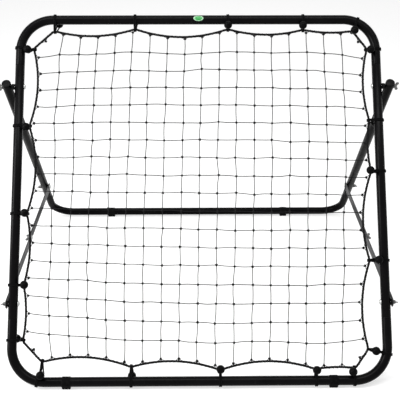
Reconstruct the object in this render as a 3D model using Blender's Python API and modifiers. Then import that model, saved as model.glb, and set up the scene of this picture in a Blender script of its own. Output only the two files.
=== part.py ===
"""Soccer rebound net: a leaning square tube frame with a net, held up by a folding rear stand.

Metres, +Z up. The net faces -Y, +X is its right-hand side as seen from the front.
"""
import bpy
import bmesh
from math import acos, asin, atan2, cos, degrees, hypot, pi, radians, sin, sqrt, tan
from mathutils import Matrix, Vector

# Tubes
FRAME_WIDTH = 1.000
FRAME_HEIGHT = 1.000
TUBE_DIA = 0.025
TUBE_WALL = 0.001
FRAME_CORNER_R = 0.0875
STAND_CORNER_R = 0.070
FRAME_LEAN = radians(36.0)

# Bolt places, measured along the tubes from the bar at the top, on the floor or at the back
PIVOT_BELOW_TOP = 0.190
STAY_BOLT_UP = 0.200
ARM_BOLT_UP = 0.195
ARM_TOP = 0.0145

# Where the tubes plug into each other, measured from the bolt beside the joint
UPPER_JOINT_ABOVE_BOLT = 0.060
LOWER_JOINT_BELOW_BOLT = 0.040
STAND_JOINT_BELOW_BOLT = 0.055
SPIGOT_LENGTH = 0.040

# Stays and fasteners
BAR_WIDTH = 0.025
BAR_THICK = 0.002
BOLT_DIA = 0.006
HEAD_DIA = 0.014
HEAD_HEIGHT = 0.0045
HEAD_RIM = 0.25
BOLT_BEYOND_NUT = 0.002
NUT_BASE_DIA = 0.012
NUT_TOP_DIA = 0.010
NUT_HEIGHT = 0.007
WING_SPAN = 0.026
WING_RISE = 0.0125
WING_THICK = 0.0024
WING_TIP_R = 0.004
SPACER_DIA = 0.016

# Feet, caps and label; the feet sit inwards from the side tube's and the arm's axis
SOLE_DEPTH = 0.0045
SOLE_WIDTH = 0.018
SLEEVE_WALL = 0.0017
FRONT_SLEEVE_LENGTH = 0.022
REAR_SLEEVE_LENGTH = 0.024
FRONT_FOOT_IN = 0.1425
REAR_FOOT_IN = 0.2082
CAP_DOME = 0.0035
CAP_PLUG = 0.008
LABEL_LENGTH = 0.027
LABEL_HEIGHT = 0.015
LABEL_THICK = 0.0003

# Net, rope and bungees
NET_CELLS = 17
NET_CORD = 0.0016
ROPE_DIA = 0.005
ROPE_SAG = 0.35
BUNGEE_CORD = 0.003
BALL_DIA = 0.022
BALL_FRONT = 0.009
HOOK_ROOM = 0.005
HOOK_SPREAD = 0.020

# Clearances
GAP = 0.0003
BOLT_PLAY = 0.0003
THREAD_PLAY = 0.0001
FOLD_ROOM = 0.003

# Facets
BOW_SIDES = 12
ROUND_STEPS = 12
CORNER_STEPS = 5
DOME_STEPS = 3
BAR_END_STEPS = 6
WRAP_STEP = radians(36.0)
ROPE_BEND_STEPS = 2
ROPE_STEP = 0.080

# Place of each bungee along its side from the side's middle, as a share of the half side
BUNGEE_SHARES = {
    "top": (-0.818, -0.361, 0.168, 0.595, 0.896),
    "bottom": (-0.849, -0.363, 0.111, 0.615, 0.812),
    "left": (-0.776, -0.485, -0.093, 0.401, 0.846),
    "right": (-0.848, -0.360, 0.130, 0.4215, 0.840),
}

# Distance of the rope, and of the ball, from the tube's axis at each bungee
ROPE_REACH = {
    "top": (0.0335, 0.028, 0.0283, 0.030, 0.030),
    "bottom": (0.052, 0.038, 0.029, 0.0298, 0.0316),
    "left": (0.0289, 0.027, 0.0303, 0.0308, 0.038),
    "right": (0.0506, 0.0389, 0.026, 0.026, 0.026),
}
BALL_REACH = {
    "top": (0.0085, 0.002, 0.0214, 0.022, 0.0295),
    "bottom": (0.0182, 0.008, 0.0308, 0.0271, 0.0225),
    "left": (0.006, 0.0308, 0.0269, 0.0241, 0.0222),
    "right": (0.0301, 0.0182, 0.0305, 0.003, 0.0179),
}

# Side of the tube on which each ball lies, 1 in front and -1 behind, and its shift along the tube
BALL_SIDE = {
    "top": (-1, -1, 1, 1, 1),
    "bottom": (1, -1, 1, 1, 1),
    "left": (-1, 1, 1, 1, 1),
    "right": (1, 1, 1, -1, 1),
}
BALL_ASIDE = {
    "top": (0.006, 0.0, 0.0, -0.002, 0.0),
    "bottom": (0.005, 0.0, 0.0, 0.0, -0.003),
    "left": (0.003, 0.0, 0.0, -0.006, -0.006),
    "right": (0.0, 0.0, 0.0, 0.0, -0.006),
}

# Worked out from the sizes above
TUBE_R = TUBE_DIA / 2
BORE_R = TUBE_R * cos(pi / BOW_SIDES) - TUBE_WALL
SPIGOT_R = BORE_R - GAP
BOLT_R = BOLT_DIA / 2
HOLE_R = BOLT_R + BOLT_PLAY
SIDE_X = FRAME_WIDTH / 2 - TUBE_R
SPAN_UP = FRAME_HEIGHT - TUBE_DIA
AXIS_HEIGHT = TUBE_R + GAP + SOLE_DEPTH
PIVOT_UP = SPAN_UP - PIVOT_BELOW_TOP
STAY_REACH = PIVOT_UP - STAY_BOLT_UP
ARM_LENGTH = STAY_REACH + ARM_BOLT_UP
UPPER_TUBE_JOINT = PIVOT_BELOW_TOP - UPPER_JOINT_ABOVE_BOLT
LOWER_TUBE_JOINT = STAY_BOLT_UP - LOWER_JOINT_BELOW_BOLT
STAND_TUBE_JOINT = ARM_BOLT_UP - STAND_JOINT_BELOW_BOLT
STAND_LEAN = acos(PIVOT_UP * cos(FRAME_LEAN) / ARM_LENGTH)
OPENING = FRAME_LEAN + STAND_LEAN
STAY_LINK = STAY_REACH * sin(OPENING / 2)

# Layers from the frame's side tube outwards; the wraps lie between the tube and the lower bar
TUBE_FACE = FRAME_WIDTH / 2
LOWER_BAR_IN = TUBE_FACE + GAP + BUNGEE_CORD + GAP
LOWER_BAR_OUT = LOWER_BAR_IN + BAR_THICK
UPPER_BAR_IN = LOWER_BAR_OUT + GAP
UPPER_BAR_OUT = UPPER_BAR_IN + BAR_THICK
ARM_IN = UPPER_BAR_OUT + GAP
ARM_X = ARM_IN + TUBE_R
ARM_OUT = ARM_X + TUBE_R

# Side view: directions in the YZ plane, and the points of the mechanism
FRAME_UP = Vector((0, sin(FRAME_LEAN), cos(FRAME_LEAN)))
FRAME_FRONT = Vector((0, -cos(FRAME_LEAN), sin(FRAME_LEAN)))
ARM_DOWN = Vector((0, sin(STAND_LEAN), -cos(STAND_LEAN)))
DEPTH = PIVOT_UP * sin(FRAME_LEAN) + ARM_LENGTH * sin(STAND_LEAN)
WRAP_OUT = (TUBE_R + GAP + BUNGEE_CORD / 2) / cos(WRAP_STEP / 2) + BUNGEE_CORD / 2
FOOT_OUT = (TUBE_R + GAP) / cos(pi / ROUND_STEPS) + SLEEVE_WALL
FRONT_BAR = Vector((0, (WRAP_OUT - FOOT_OUT - DEPTH) / 2, AXIS_HEIGHT))
PIVOT = FRONT_BAR + FRAME_UP * PIVOT_UP
REAR_BAR = PIVOT + ARM_DOWN * ARM_LENGTH
STAY_LOW = PIVOT - FRAME_UP * STAY_REACH
STAY_HIGH = PIVOT + ARM_DOWN * STAY_REACH
STAY_MID = (STAY_LOW + STAY_HIGH) / 2

STEEL = ((0.012, 0.012, 0.013), 0.42, 0.0)
BAR_STEEL = ((0.10, 0.10, 0.105), 0.38, 0.7)
ZINC = ((0.72, 0.72, 0.70), 0.30, 1.0)
NUT_ZINC = ((0.45, 0.45, 0.45), 0.35, 1.0)
RUBBER = ((0.015, 0.015, 0.016), 0.85, 0.0)
PLASTIC = ((0.010, 0.010, 0.011), 0.40, 0.0)
CORD = ((0.012, 0.012, 0.013), 0.90, 0.0)
TWINE = ((0.035, 0.035, 0.035), 0.90, 0.0)
GREEN = ((0.04, 0.33, 0.07), 0.45, 0.0)

for old in list(bpy.data.objects):
    bpy.data.objects.remove(old, do_unlink=True)
parts = bpy.data.collections.new("soccer_rebound_net")
cutters = bpy.data.collections.new("cutters")
bpy.context.scene.collection.children.link(parts)
bpy.context.scene.collection.children.link(cutters)


def material(name, look):
    """Principled material from a (colour, roughness, metallic) look."""
    colour, roughness, metallic = look
    mat = bpy.data.materials.new(name)
    mat.use_nodes = True
    shader = mat.node_tree.nodes["Principled BSDF"]
    shader.inputs["Base Color"].default_value = (*colour, 1.0)
    shader.inputs["Roughness"].default_value = roughness
    shader.inputs["Metallic"].default_value = metallic
    return mat


def add_object(name, data, place, collection=parts):
    """New object from a mesh or curve, put at a world matrix."""
    obj = bpy.data.objects.new(name, data)
    obj.matrix_world = place
    collection.objects.link(obj)
    return obj


def add_part(name, data, place, look, parent):
    """A named piece with its own material, carried by an empty."""
    obj = add_object(name, data, place)
    obj.data.materials.clear()
    obj.data.materials.append(material(name, look))
    obj.parent = parent
    obj.matrix_parent_inverse = parent.matrix_world.inverted()
    return obj


def add_empty(name, place, parent=None):
    """An empty on a joint's axis, or at the foot of the frame."""
    empty = add_object(name, None, place)
    bpy.context.view_layer.update()
    if parent:
        empty.parent = parent
        empty.matrix_parent_inverse = parent.matrix_world.inverted()
        bpy.context.view_layer.update()
    return empty


def baked(obj):
    """The object's evaluated mesh, welded and smooth; the object itself is removed."""
    graph = bpy.context.evaluated_depsgraph_get()
    mesh = bpy.data.meshes.new_from_object(obj.evaluated_get(graph))
    bm = bmesh.new()
    bm.from_mesh(mesh)
    bmesh.ops.remove_doubles(bm, verts=bm.verts, dist=1e-6)
    bm.to_mesh(mesh)
    bm.free()
    smooth(mesh)
    bpy.data.objects.remove(obj, do_unlink=True)
    return mesh


def smooth(mesh):
    mesh.shade_smooth()
    mesh.set_sharp_from_angle(angle=radians(40))


def poly_curve(name, outlines, cyclic, dimensions):
    """Curve data with one straight-sided spline for each outline of points."""
    curve = bpy.data.curves.new(name, "CURVE")
    curve.dimensions = dimensions
    for points in outlines:
        spline = curve.splines.new("POLY")
        spline.points.add(len(points) - 1)
        for point, place in zip(spline.points, points):
            point.co = (*Vector(place).to_3d(), 1.0)
        spline.use_cyclic_u = cyclic
    return curve


def rod_curve(name, points, radius, sides, closed):
    """Round rod or cord along the points."""
    curve = poly_curve(name, [points], closed, "3D")
    curve.bevel_depth = radius
    curve.bevel_resolution = (sides - 4) // 2
    curve.use_fill_caps = not closed
    return curve


def plate_curve(name, outlines, thick):
    """Flat plate in the XY plane, its middle at z = 0; further outlines are its holes."""
    curve = poly_curve(name, outlines, True, "2D")
    curve.fill_mode = "BOTH"
    curve.extrude = thick / 2
    return curve


def turned_mesh(name, profile, closed, steps=ROUND_STEPS):
    """Solid of revolution about Z from (radius, z) pairs that run down the outer side."""
    mesh = bpy.data.meshes.new(name)
    bm = bmesh.new()
    verts = [bm.verts.new((radius, 0, z)) for radius, z in profile]
    for first, second in zip(verts, verts[1:]):
        bm.edges.new((first, second))
    if closed:
        bm.edges.new((verts[-1], verts[0]))
    bm.to_mesh(mesh)
    bm.free()
    obj = add_object(name + "_profile", mesh, Matrix(), cutters)
    screw = obj.modifiers.new("turn", "SCREW")
    screw.steps = steps
    screw.render_steps = steps
    screw.use_merge_vertices = True
    screw.merge_threshold = 1e-5
    return baked(obj)


def arc(centre_x, centre_y, radius, start, end, steps):
    """Points along an arc in the XY plane."""
    turns = [start + (end - start) * i / steps for i in range(steps + 1)]
    return [(centre_x + radius * cos(t), centre_y + radius * sin(t)) for t in turns]


def circle(radius, steps=ROUND_STEPS, centre=(0.0, 0.0)):
    return arc(centre[0], centre[1], radius, 0, 2 * pi, steps)[:-1]


def cutter(name, data, place):
    """Helper solid for a Boolean, kept out of the model."""
    obj = add_object(name, data, place, cutters)
    obj.hide_render = True
    obj.display_type = "WIRE"
    return obj


def boolean(obj, other, operation):
    mod = obj.modifiers.new(operation.lower(), "BOOLEAN")
    mod.operation = operation
    mod.solver = "EXACT"
    mod.object = other


def rod_mesh(name, radius, length, steps=ROUND_STEPS):
    """Plain cylinder along Z, its middle at the origin."""
    mesh = bpy.data.meshes.new(name)
    bm = bmesh.new()
    bmesh.ops.create_cone(
        bm, cap_ends=True, segments=steps, radius1=radius, radius2=radius, depth=length)
    bm.to_mesh(mesh)
    bm.free()
    return mesh


def along_x(side):
    """Rotation that turns local +Z towards the outside of the given side (-1 or 1)."""
    return Matrix.Rotation(side * pi / 2, 4, "Y")


def at(x, point):
    """World place of a side-view point at the given x."""
    return Matrix.Translation(Vector((x, point.y, point.z)))


def cut_bolt_hole(obj, point):
    """Hole along X through an object's tube, for the bolt at a side-view point."""
    x = obj.matrix_world.translation.x
    drill = cutter(obj.name + "_drill", rod_mesh("drill", HOLE_R, 2 * TUBE_DIA), at(x, point) @ along_x(1))
    boolean(obj, drill, "DIFFERENCE")


def bow_mesh(name, half_width, leg, corner_r):
    """U of hollow tube: its bar lies along X at z = 0, and its legs run up to z = leg."""
    path = [(-half_width, leg)]
    path += arc(corner_r - half_width, corner_r, corner_r, pi, 1.5 * pi, CORNER_STEPS)
    path += arc(half_width - corner_r, corner_r, corner_r, 1.5 * pi, 2 * pi, CORNER_STEPS)
    path += [(half_width, leg)]
    curve = rod_curve(name, [(x, 0, z) for x, z in path], TUBE_R, BOW_SIDES, False)
    curve.use_fill_caps = False
    skin = baked(add_object(name + "_path", curve, Matrix(), cutters))
    shell = add_object(name + "_skin", skin, Matrix(), cutters)
    wall = shell.modifiers.new("wall", "SOLIDIFY")
    wall.thickness = TUBE_WALL
    wall.offset = -1
    wall.use_even_offset = True
    return baked(shell)


def straight_tube_mesh(name, low, high, spigot_low, spigot_high):
    """Hollow tube along Z from low to high, reduced to a spigot beyond either end that has one."""
    inside = TUBE_R - TUBE_WALL
    spigot_in = SPIGOT_R - TUBE_WALL
    outer = [(TUBE_R, high), (TUBE_R, low)]
    inner = [(inside, low), (inside, high)]
    if spigot_high:
        outer = [(SPIGOT_R, high + SPIGOT_LENGTH), (SPIGOT_R, high)] + outer
        inner[-1] = (inside, high - 2 * TUBE_WALL)
        inner += [(spigot_in, high), (spigot_in, high + SPIGOT_LENGTH)]
    if spigot_low:
        outer += [(SPIGOT_R, low), (SPIGOT_R, low - SPIGOT_LENGTH)]
        inner[0] = (inside, low + 2 * TUBE_WALL)
        inner = [(spigot_in, low - SPIGOT_LENGTH), (spigot_in, low)] + inner
    return turned_mesh(name, outer + inner, True)


def sleeve_foot(name, x, axis_point, length, parent):
    """Rubber sleeve round a floor bar, with a flat sole under it."""
    bore_r = (TUBE_R + GAP) / cos(pi / ROUND_STEPS)
    outline = arc(0, 0, FOOT_OUT, radians(-30), radians(210), ROUND_STEPS)
    outline += [(-SOLE_WIDTH / 2, -AXIS_HEIGHT), (SOLE_WIDTH / 2, -AXIS_HEIGHT)]
    curve = plate_curve(name, [outline, circle(bore_r)], length)
    turn = Matrix.Rotation(pi / 2, 4, "Z") @ Matrix.Rotation(pi / 2, 4, "X")
    add_part(name, curve, at(x, axis_point) @ turn, RUBBER, parent)


def bolt_mesh(name, length):
    """Domed bolt along Z: the head is below z = 0 and the shank runs up to the length."""
    head_r = HEAD_DIA / 2
    profile = [(0, length), (BOLT_R, length), (BOLT_R, 0), (head_r, 0)]
    for i in range(DOME_STEPS):
        angle = pi / 2 * i / DOME_STEPS
        profile.append((head_r * cos(angle), -HEAD_HEIGHT * (HEAD_RIM + (1 - HEAD_RIM) * sin(angle))))
    profile.append((0, -HEAD_HEIGHT))
    return turned_mesh(name, profile, False)


def wing_nut_mesh(name, stub):
    """Wing nut along Z with its seat at z = 0; a stub of that length fills it instead of a bore."""
    tip_x = WING_SPAN / 2 - WING_TIP_R
    tip_z = WING_RISE - WING_TIP_R
    root_x = NUT_TOP_DIA / 2 - WING_THICK / 2
    right = arc(tip_x, tip_z, WING_TIP_R, radians(-50), radians(150), 4)
    outline = [(root_x, WING_THICK / 2)] + right + [(root_x, NUT_HEIGHT)]
    outline += [(-x, z) for x, z in reversed(outline)]
    wings = plate_curve("wings", [outline], WING_THICK)
    upright = Matrix.Rotation(pi / 2, 4, "X")
    wings_mesh = baked(add_object("wings_flat", wings, upright, cutters))
    wings_solid = cutter("wings", wings_mesh, upright)
    hub = bpy.data.meshes.new(name)
    bm = bmesh.new()
    bmesh.ops.create_cone(
        bm, cap_ends=True, segments=ROUND_STEPS, radius1=NUT_BASE_DIA / 2, radius2=NUT_TOP_DIA / 2,
        depth=NUT_HEIGHT, matrix=Matrix.Translation((0, 0, NUT_HEIGHT / 2)))
    bm.to_mesh(hub)
    bm.free()
    nut = add_object(name, hub, Matrix(), cutters)
    boolean(nut, wings_solid, "UNION")
    if stub:
        length = stub + NUT_HEIGHT + BOLT_BEYOND_NUT
        core = rod_mesh("core", BOLT_R, length)
        core_solid = cutter("core", core, Matrix.Translation((0, 0, length / 2 - stub)))
        boolean(nut, core_solid, "UNION")
    else:
        bore_r = (BOLT_R + THREAD_PLAY) / cos(pi / ROUND_STEPS)
        core = rod_mesh("core", bore_r, 4 * NUT_HEIGHT)
        core_solid = cutter("core", core, Matrix())
        boolean(nut, core_solid, "DIFFERENCE")
    bpy.context.view_layer.update()
    mesh = baked(nut)
    bpy.data.objects.remove(wings_solid, do_unlink=True)
    bpy.data.objects.remove(core_solid, do_unlink=True)
    return mesh


def spacer_mesh(name, length):
    outer = SPACER_DIA / 2
    return turned_mesh(name, [(outer, length), (outer, 0), (HOLE_R, 0), (HOLE_R, length)], True)


def bar_outline():
    """Stay bar along local X from one bolt to the next, with its holes."""
    edge = BAR_WIDTH / 2
    outline = arc(0, 0, edge, pi / 2, 1.5 * pi, BAR_END_STEPS)
    outline += arc(STAY_LINK, 0, edge, -pi / 2, pi / 2, BAR_END_STEPS)
    return [outline, circle(HOLE_R), circle(HOLE_R, ROUND_STEPS, (STAY_LINK, 0))]


def side_spot(side, share):
    """Point of the frame's centre line, direction along it and inward normal, in (x, up) pairs."""
    upright = side in ("left", "right")
    half_along = SPAN_UP / 2 if upright else SIDE_X
    half_across = SIDE_X if upright else SPAN_UP / 2
    along = Vector((0, 1)) if upright else Vector((1, 0))
    inward = {"top": Vector((0, -1)), "bottom": Vector((0, 1)),
              "left": Vector((1, 0)), "right": Vector((-1, 0))}[side]
    t = share * half_along
    into_corner = abs(t) - (half_along - FRAME_CORNER_R)
    drop = 0.0
    lean = 0.0
    if into_corner > 0:
        # The bent tube is a run of straight facets, and the spot lies on one of them
        facet = pi / 2 / CORNER_STEPS
        number = int(asin(into_corner / FRAME_CORNER_R) / facet)
        middle_turn = (number + 0.5) * facet
        past = into_corner - FRAME_CORNER_R * sin(number * facet)
        drop = FRAME_CORNER_R * (1 - cos(number * facet)) + past * tan(middle_turn)
        lean = middle_turn if t > 0 else -middle_turn
    middle = Vector((0, SPAN_UP / 2))
    point = middle + along * t + inward * (drop - half_across)
    normal = inward * cos(lean) - along * sin(lean)
    direction = along * cos(lean) + inward * sin(lean)
    return point, direction, normal


def rope_hooks(side):
    """Points where the bungees of one side hold the rope."""
    hooks = []
    for share, reach in zip(BUNGEE_SHARES[side], ROPE_REACH[side]):
        point, _, normal = side_spot(side, share)
        hooks.append(point + normal * reach)
    return hooks


def side_rope(side):
    """The rope's centre line along one side: level in each bungee, sagging inwards between them."""
    inward = side_spot(side, 0.0)[2]
    level = BUNGEE_CORD + 2 * GAP
    seats = [side_spot(side, share)[1] * level for share in BUNGEE_SHARES[side]]
    hooks = rope_hooks(side)
    points = [hooks[0] - seats[0], hooks[0] + seats[0]]
    for i in range(1, len(hooks)):
        first = hooks[i - 1] + seats[i - 1]
        second = hooks[i] - seats[i]
        span = (second - first).length
        steps = max(3, round(span / ROPE_STEP))
        for step in range(1, steps + 1):
            u = step / steps
            sag = ROPE_SAG * span ** 2 * 4 * u * (1 - u)
            points.append(first.lerp(second, u) + inward * sag)
        points.append(hooks[i] + seats[i])
    return points


def on_frame(point, front=0.0):
    """World point of an (x, up) pair, moved out of the frame's plane towards the front."""
    base = Vector((point[0], FRONT_BAR.y, FRONT_BAR.z))
    return base + FRAME_UP * point[1] + FRAME_FRONT * front


def corner_cut(first_side, first_end, second_side, second_end):
    """Middle of the straight stretch of rope across one corner."""
    return (side_rope(first_side)[first_end] + side_rope(second_side)[second_end]) / 2


def net_edge(side, t):
    """Inset line of the net's edge along a side, for a coordinate t along it."""
    upright = side in ("left", "right")
    axis, cross = (1, 0) if upright else (0, 1)
    inward = side_spot(side, 0.0)[2][cross]
    ends = {"top": (("left", -1), ("right", -1)), "bottom": (("left", 0), ("right", 0)),
            "left": (("bottom", 0), ("top", 0)), "right": (("bottom", -1), ("top", -1))}[side]
    neighbours = [side_rope(other)[index] for other, index in ends]
    line = [neighbours[0]] + side_rope(side) + [neighbours[1]]
    for first, second in zip(line, line[1:]):
        if first[axis] <= t <= second[axis]:
            u = (t - first[axis]) / (second[axis] - first[axis])
            rope = first.lerp(second, u)[cross]
            break
    nearest = min(abs(hook[axis] - t) for hook in rope_hooks(side))
    room = HOOK_ROOM * max(0.0, 1 - nearest / HOOK_SPREAD)
    bulge = ROPE_SAG * (SPAN_UP / NET_CELLS) ** 2
    inset = (ROPE_DIA / 2 + NET_CORD / 2 + GAP) * 1.06 + 2 * bulge + room
    return rope + inward * inset


def net_mesh():
    """Square net in the frame's plane whose edge follows the rope."""
    inset = (ROPE_DIA + NET_CORD) / 2 + 4 * GAP
    corners = {
        (0, 0): corner_cut("left", 0, "bottom", 0) + Vector((inset, inset)),
        (1, 0): corner_cut("right", 0, "bottom", -1) + Vector((-inset, inset)),
        (0, 1): corner_cut("left", -1, "top", 0) + Vector((inset, -inset)),
        (1, 1): corner_cut("right", -1, "top", -1) + Vector((-inset, -inset))}
    mesh = bpy.data.meshes.new("net")
    bm = bmesh.new()
    bmesh.ops.create_grid(bm, x_segments=NET_CELLS, y_segments=NET_CELLS, size=0.5)
    for vert in bm.verts:
        u = vert.co.x + 0.5
        v = vert.co.y + 0.5
        low = corners[0, 0].lerp(corners[1, 0], u)
        high = corners[0, 1].lerp(corners[1, 1], u)
        place = low.lerp(high, v)
        at_corner = min(u, 1 - u) < 1e-5 and min(v, 1 - v) < 1e-5
        if not at_corner:
            if u < 1e-5:
                place.x = net_edge("left", place.y)
            if u > 1 - 1e-5:
                place.x = net_edge("right", place.y)
            if v < 1e-5:
                place.y = net_edge("bottom", place.x)
            if v > 1 - 1e-5:
                place.y = net_edge("top", place.x)
        vert.co = on_frame(place)
    bmesh.ops.recalc_face_normals(bm, faces=bm.faces)
    bm.to_mesh(mesh)
    bm.free()
    return mesh


def bungee_loop(reach, ball_at):
    """Closed path of one strand in the (inward, front) plane: ball, round the tube, round the rope.

    It is worked out for a ball in front, and is turned over for a ball behind the tube.
    """
    tube_turn = TUBE_R + GAP + BUNGEE_CORD / 2
    rope_turn = ROPE_DIA / 2 + GAP + BUNGEE_CORD / 2
    ball = ball_centre(reach, ball_at)
    start = atan2(ball[1], ball[0]) + acos(tube_turn / hypot(*ball))
    leave = 2 * pi - acos((tube_turn - rope_turn) / reach)
    corner_r = tube_turn / cos(WRAP_STEP / 2)
    turns = [start]
    between = pi - 4.5 * WRAP_STEP
    while between < leave - WRAP_STEP / 8:
        if between > start + WRAP_STEP / 8:
            turns.append(between)
        between += WRAP_STEP
    turns.append(leave)
    path = [(ball[0], ball[1])]
    path += [(corner_r * cos(t), corner_r * sin(t)) for t in turns]
    back = leave - 2 * pi
    away = hypot(ball[0] - reach, ball[1])
    meet = atan2(ball[1], ball[0] - reach) - acos(min(1.0, rope_turn / away))
    bend_r = rope_turn / cos((meet - back) / 2 / ROPE_BEND_STEPS)
    path += arc(reach, 0, bend_r, back, meet, ROPE_BEND_STEPS)
    return path


def ball_centre(reach, ball_at):
    """Place of a ball that rests on the tube, on the rope, on both, or on its own cord."""
    off_tube = TUBE_R + GAP + BALL_DIA / 2
    off_rope = ROPE_DIA / 2 + GAP + BALL_DIA / 2
    front = BALL_FRONT
    if ball_at < off_tube:
        front = max(front, sqrt(off_tube ** 2 - ball_at ** 2))
    if abs(reach - ball_at) < off_rope:
        front = max(front, sqrt(off_rope ** 2 - (reach - ball_at) ** 2))
    return ball_at, front


def bungee(name, side, number, parent):
    """Ball bungee: two strands side by side round tube and rope, both through the ball."""
    point, direction, normal = side_spot(side, BUNGEE_SHARES[side][number])
    origin = on_frame(point)
    inward = on_frame(point + normal) - origin
    across = on_frame(point + direction) - origin
    front = FRAME_FRONT * BALL_SIDE[side][number]
    aside = across * BALL_ASIDE[side][number]
    reach = ROPE_REACH[side][number]
    ball_at = BALL_REACH[side][number]
    middle = ball_centre(reach, ball_at)
    ball_mesh = bpy.data.meshes.new(name)
    bm = bmesh.new()
    bmesh.ops.create_uvsphere(bm, u_segments=7, v_segments=5, radius=BALL_DIA / 2)
    bm.to_mesh(ball_mesh)
    bm.free()
    smooth(ball_mesh)
    place = Matrix.Translation(origin + inward * middle[0] + front * middle[1] + aside)
    ball = add_part(name, ball_mesh, place, CORD, parent)
    for sign in (-1, 1):
        shift = across * sign * (BUNGEE_CORD / 2 + GAP)
        path = [origin + inward * a + front * b + shift for a, b in bungee_loop(reach, ball_at)]
        path[0] += aside
        strand = rod_curve(name + "_strand", path, BUNGEE_CORD / 2, 4, True)
        mesh = baked(add_object(name + "_path", strand, Matrix(), cutters))
        boolean(ball, cutter(name + "_strand", mesh, Matrix()), "UNION")


def fold_travel():
    """How far the stand closes, and how far each stay bar turns with it."""
    room = TUBE_R + WING_SPAN / 2 + FOLD_ROOM
    opening = OPENING
    while True:
        half = (opening - radians(0.1)) / 2
        mid_out = STAY_REACH * cos(half) - sqrt(STAY_LINK ** 2 - (STAY_REACH * sin(half)) ** 2)
        if mid_out * sin(half) < room:
            break
        opening -= radians(0.1)
    bar_rest = pi / 2 - OPENING / 2
    bar_folded = pi / 2 - opening / 2 - acos(STAY_REACH * sin(opening / 2) / STAY_LINK)
    return OPENING - opening, bar_rest - bar_folded


frame_lean = Matrix.Rotation(-FRAME_LEAN, 4, "X")
stand_lean = Matrix.Rotation(STAND_LEAN, 4, "X")
frame_foot = add_empty("frame_foot", at(0, FRONT_BAR))
stand_pivot = add_empty("stand_pivot", at(0, PIVOT) @ stand_lean, frame_foot)

# Frame tubes
bottom_bow = bow_mesh("frame_bottom_bow", SIDE_X, LOWER_TUBE_JOINT - GAP, FRAME_CORNER_R)
add_part("frame_bottom_bow", bottom_bow, at(0, FRONT_BAR) @ frame_lean, STEEL, frame_foot)
top_bow = bow_mesh("frame_top_bow", SIDE_X, UPPER_TUBE_JOINT - GAP, FRAME_CORNER_R)
top_place = at(0, FRONT_BAR + FRAME_UP * SPAN_UP) @ frame_lean @ Matrix.Rotation(pi, 4, "Y")
add_part("frame_top_bow", top_bow, top_place, STEEL, frame_foot)

# Rear stand's bar with its corners; the arms end in it
rear_bow = bow_mesh("stand_rear_bow", ARM_X, STAND_TUBE_JOINT - GAP, STAND_CORNER_R)
add_part("stand_rear_bow", rear_bow, at(0, REAR_BAR) @ stand_lean, STEEL, stand_pivot)

side_mesh = straight_tube_mesh(
    "frame_side", LOWER_TUBE_JOINT, SPAN_UP - UPPER_TUBE_JOINT, True, True)
arm_mesh = straight_tube_mesh("stand_arm", STAND_TUBE_JOINT - ARM_LENGTH, ARM_TOP, True, False)
cap_mesh = turned_mesh("arm_cap", [
    (0, CAP_DOME), (TUBE_R * 0.5, CAP_DOME * 0.85), (TUBE_R * 0.87, CAP_DOME * 0.5), (TUBE_R, 0),
    ((TUBE_R - TUBE_WALL) * cos(pi / ROUND_STEPS) - GAP, 0),
    ((TUBE_R - TUBE_WALL) * cos(pi / ROUND_STEPS) - GAP, -CAP_PLUG), (0, -CAP_PLUG)], False)

pivot_length = ARM_OUT - (SIDE_X - TUBE_R) + 3 * GAP + NUT_HEIGHT + BOLT_BEYOND_NUT
low_length = LOWER_BAR_OUT - (SIDE_X - TUBE_R) + 3 * GAP + NUT_HEIGHT + BOLT_BEYOND_NUT
high_length = ARM_OUT - UPPER_BAR_IN + 3 * GAP + NUT_HEIGHT + BOLT_BEYOND_NUT
pivot_bolt = bolt_mesh("pivot_bolt", pivot_length)
low_bolt = bolt_mesh("stay_lower_bolt", low_length)
high_bolt = bolt_mesh("stay_upper_bolt", high_length)
mid_bolt = bolt_mesh("stay_mid_bolt", BAR_THICK + GAP)
wing_nut = wing_nut_mesh("wing_nut", 0.0)
mid_nut = wing_nut_mesh("stay_mid_wing_nut", BAR_THICK + GAP)
pivot_spacer = spacer_mesh("pivot_spacer", ARM_IN - TUBE_FACE - 2 * GAP)
stay_spacer = spacer_mesh("stay_spacer", LOWER_BAR_IN - TUBE_FACE - 2 * GAP)

# How far each wing nut stands turned from upright at rest
NUT_TURNS = {"pivot": radians(20), "stay_lower": radians(60), "stay_upper": radians(75),
             "stay_mid": radians(100)}

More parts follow.
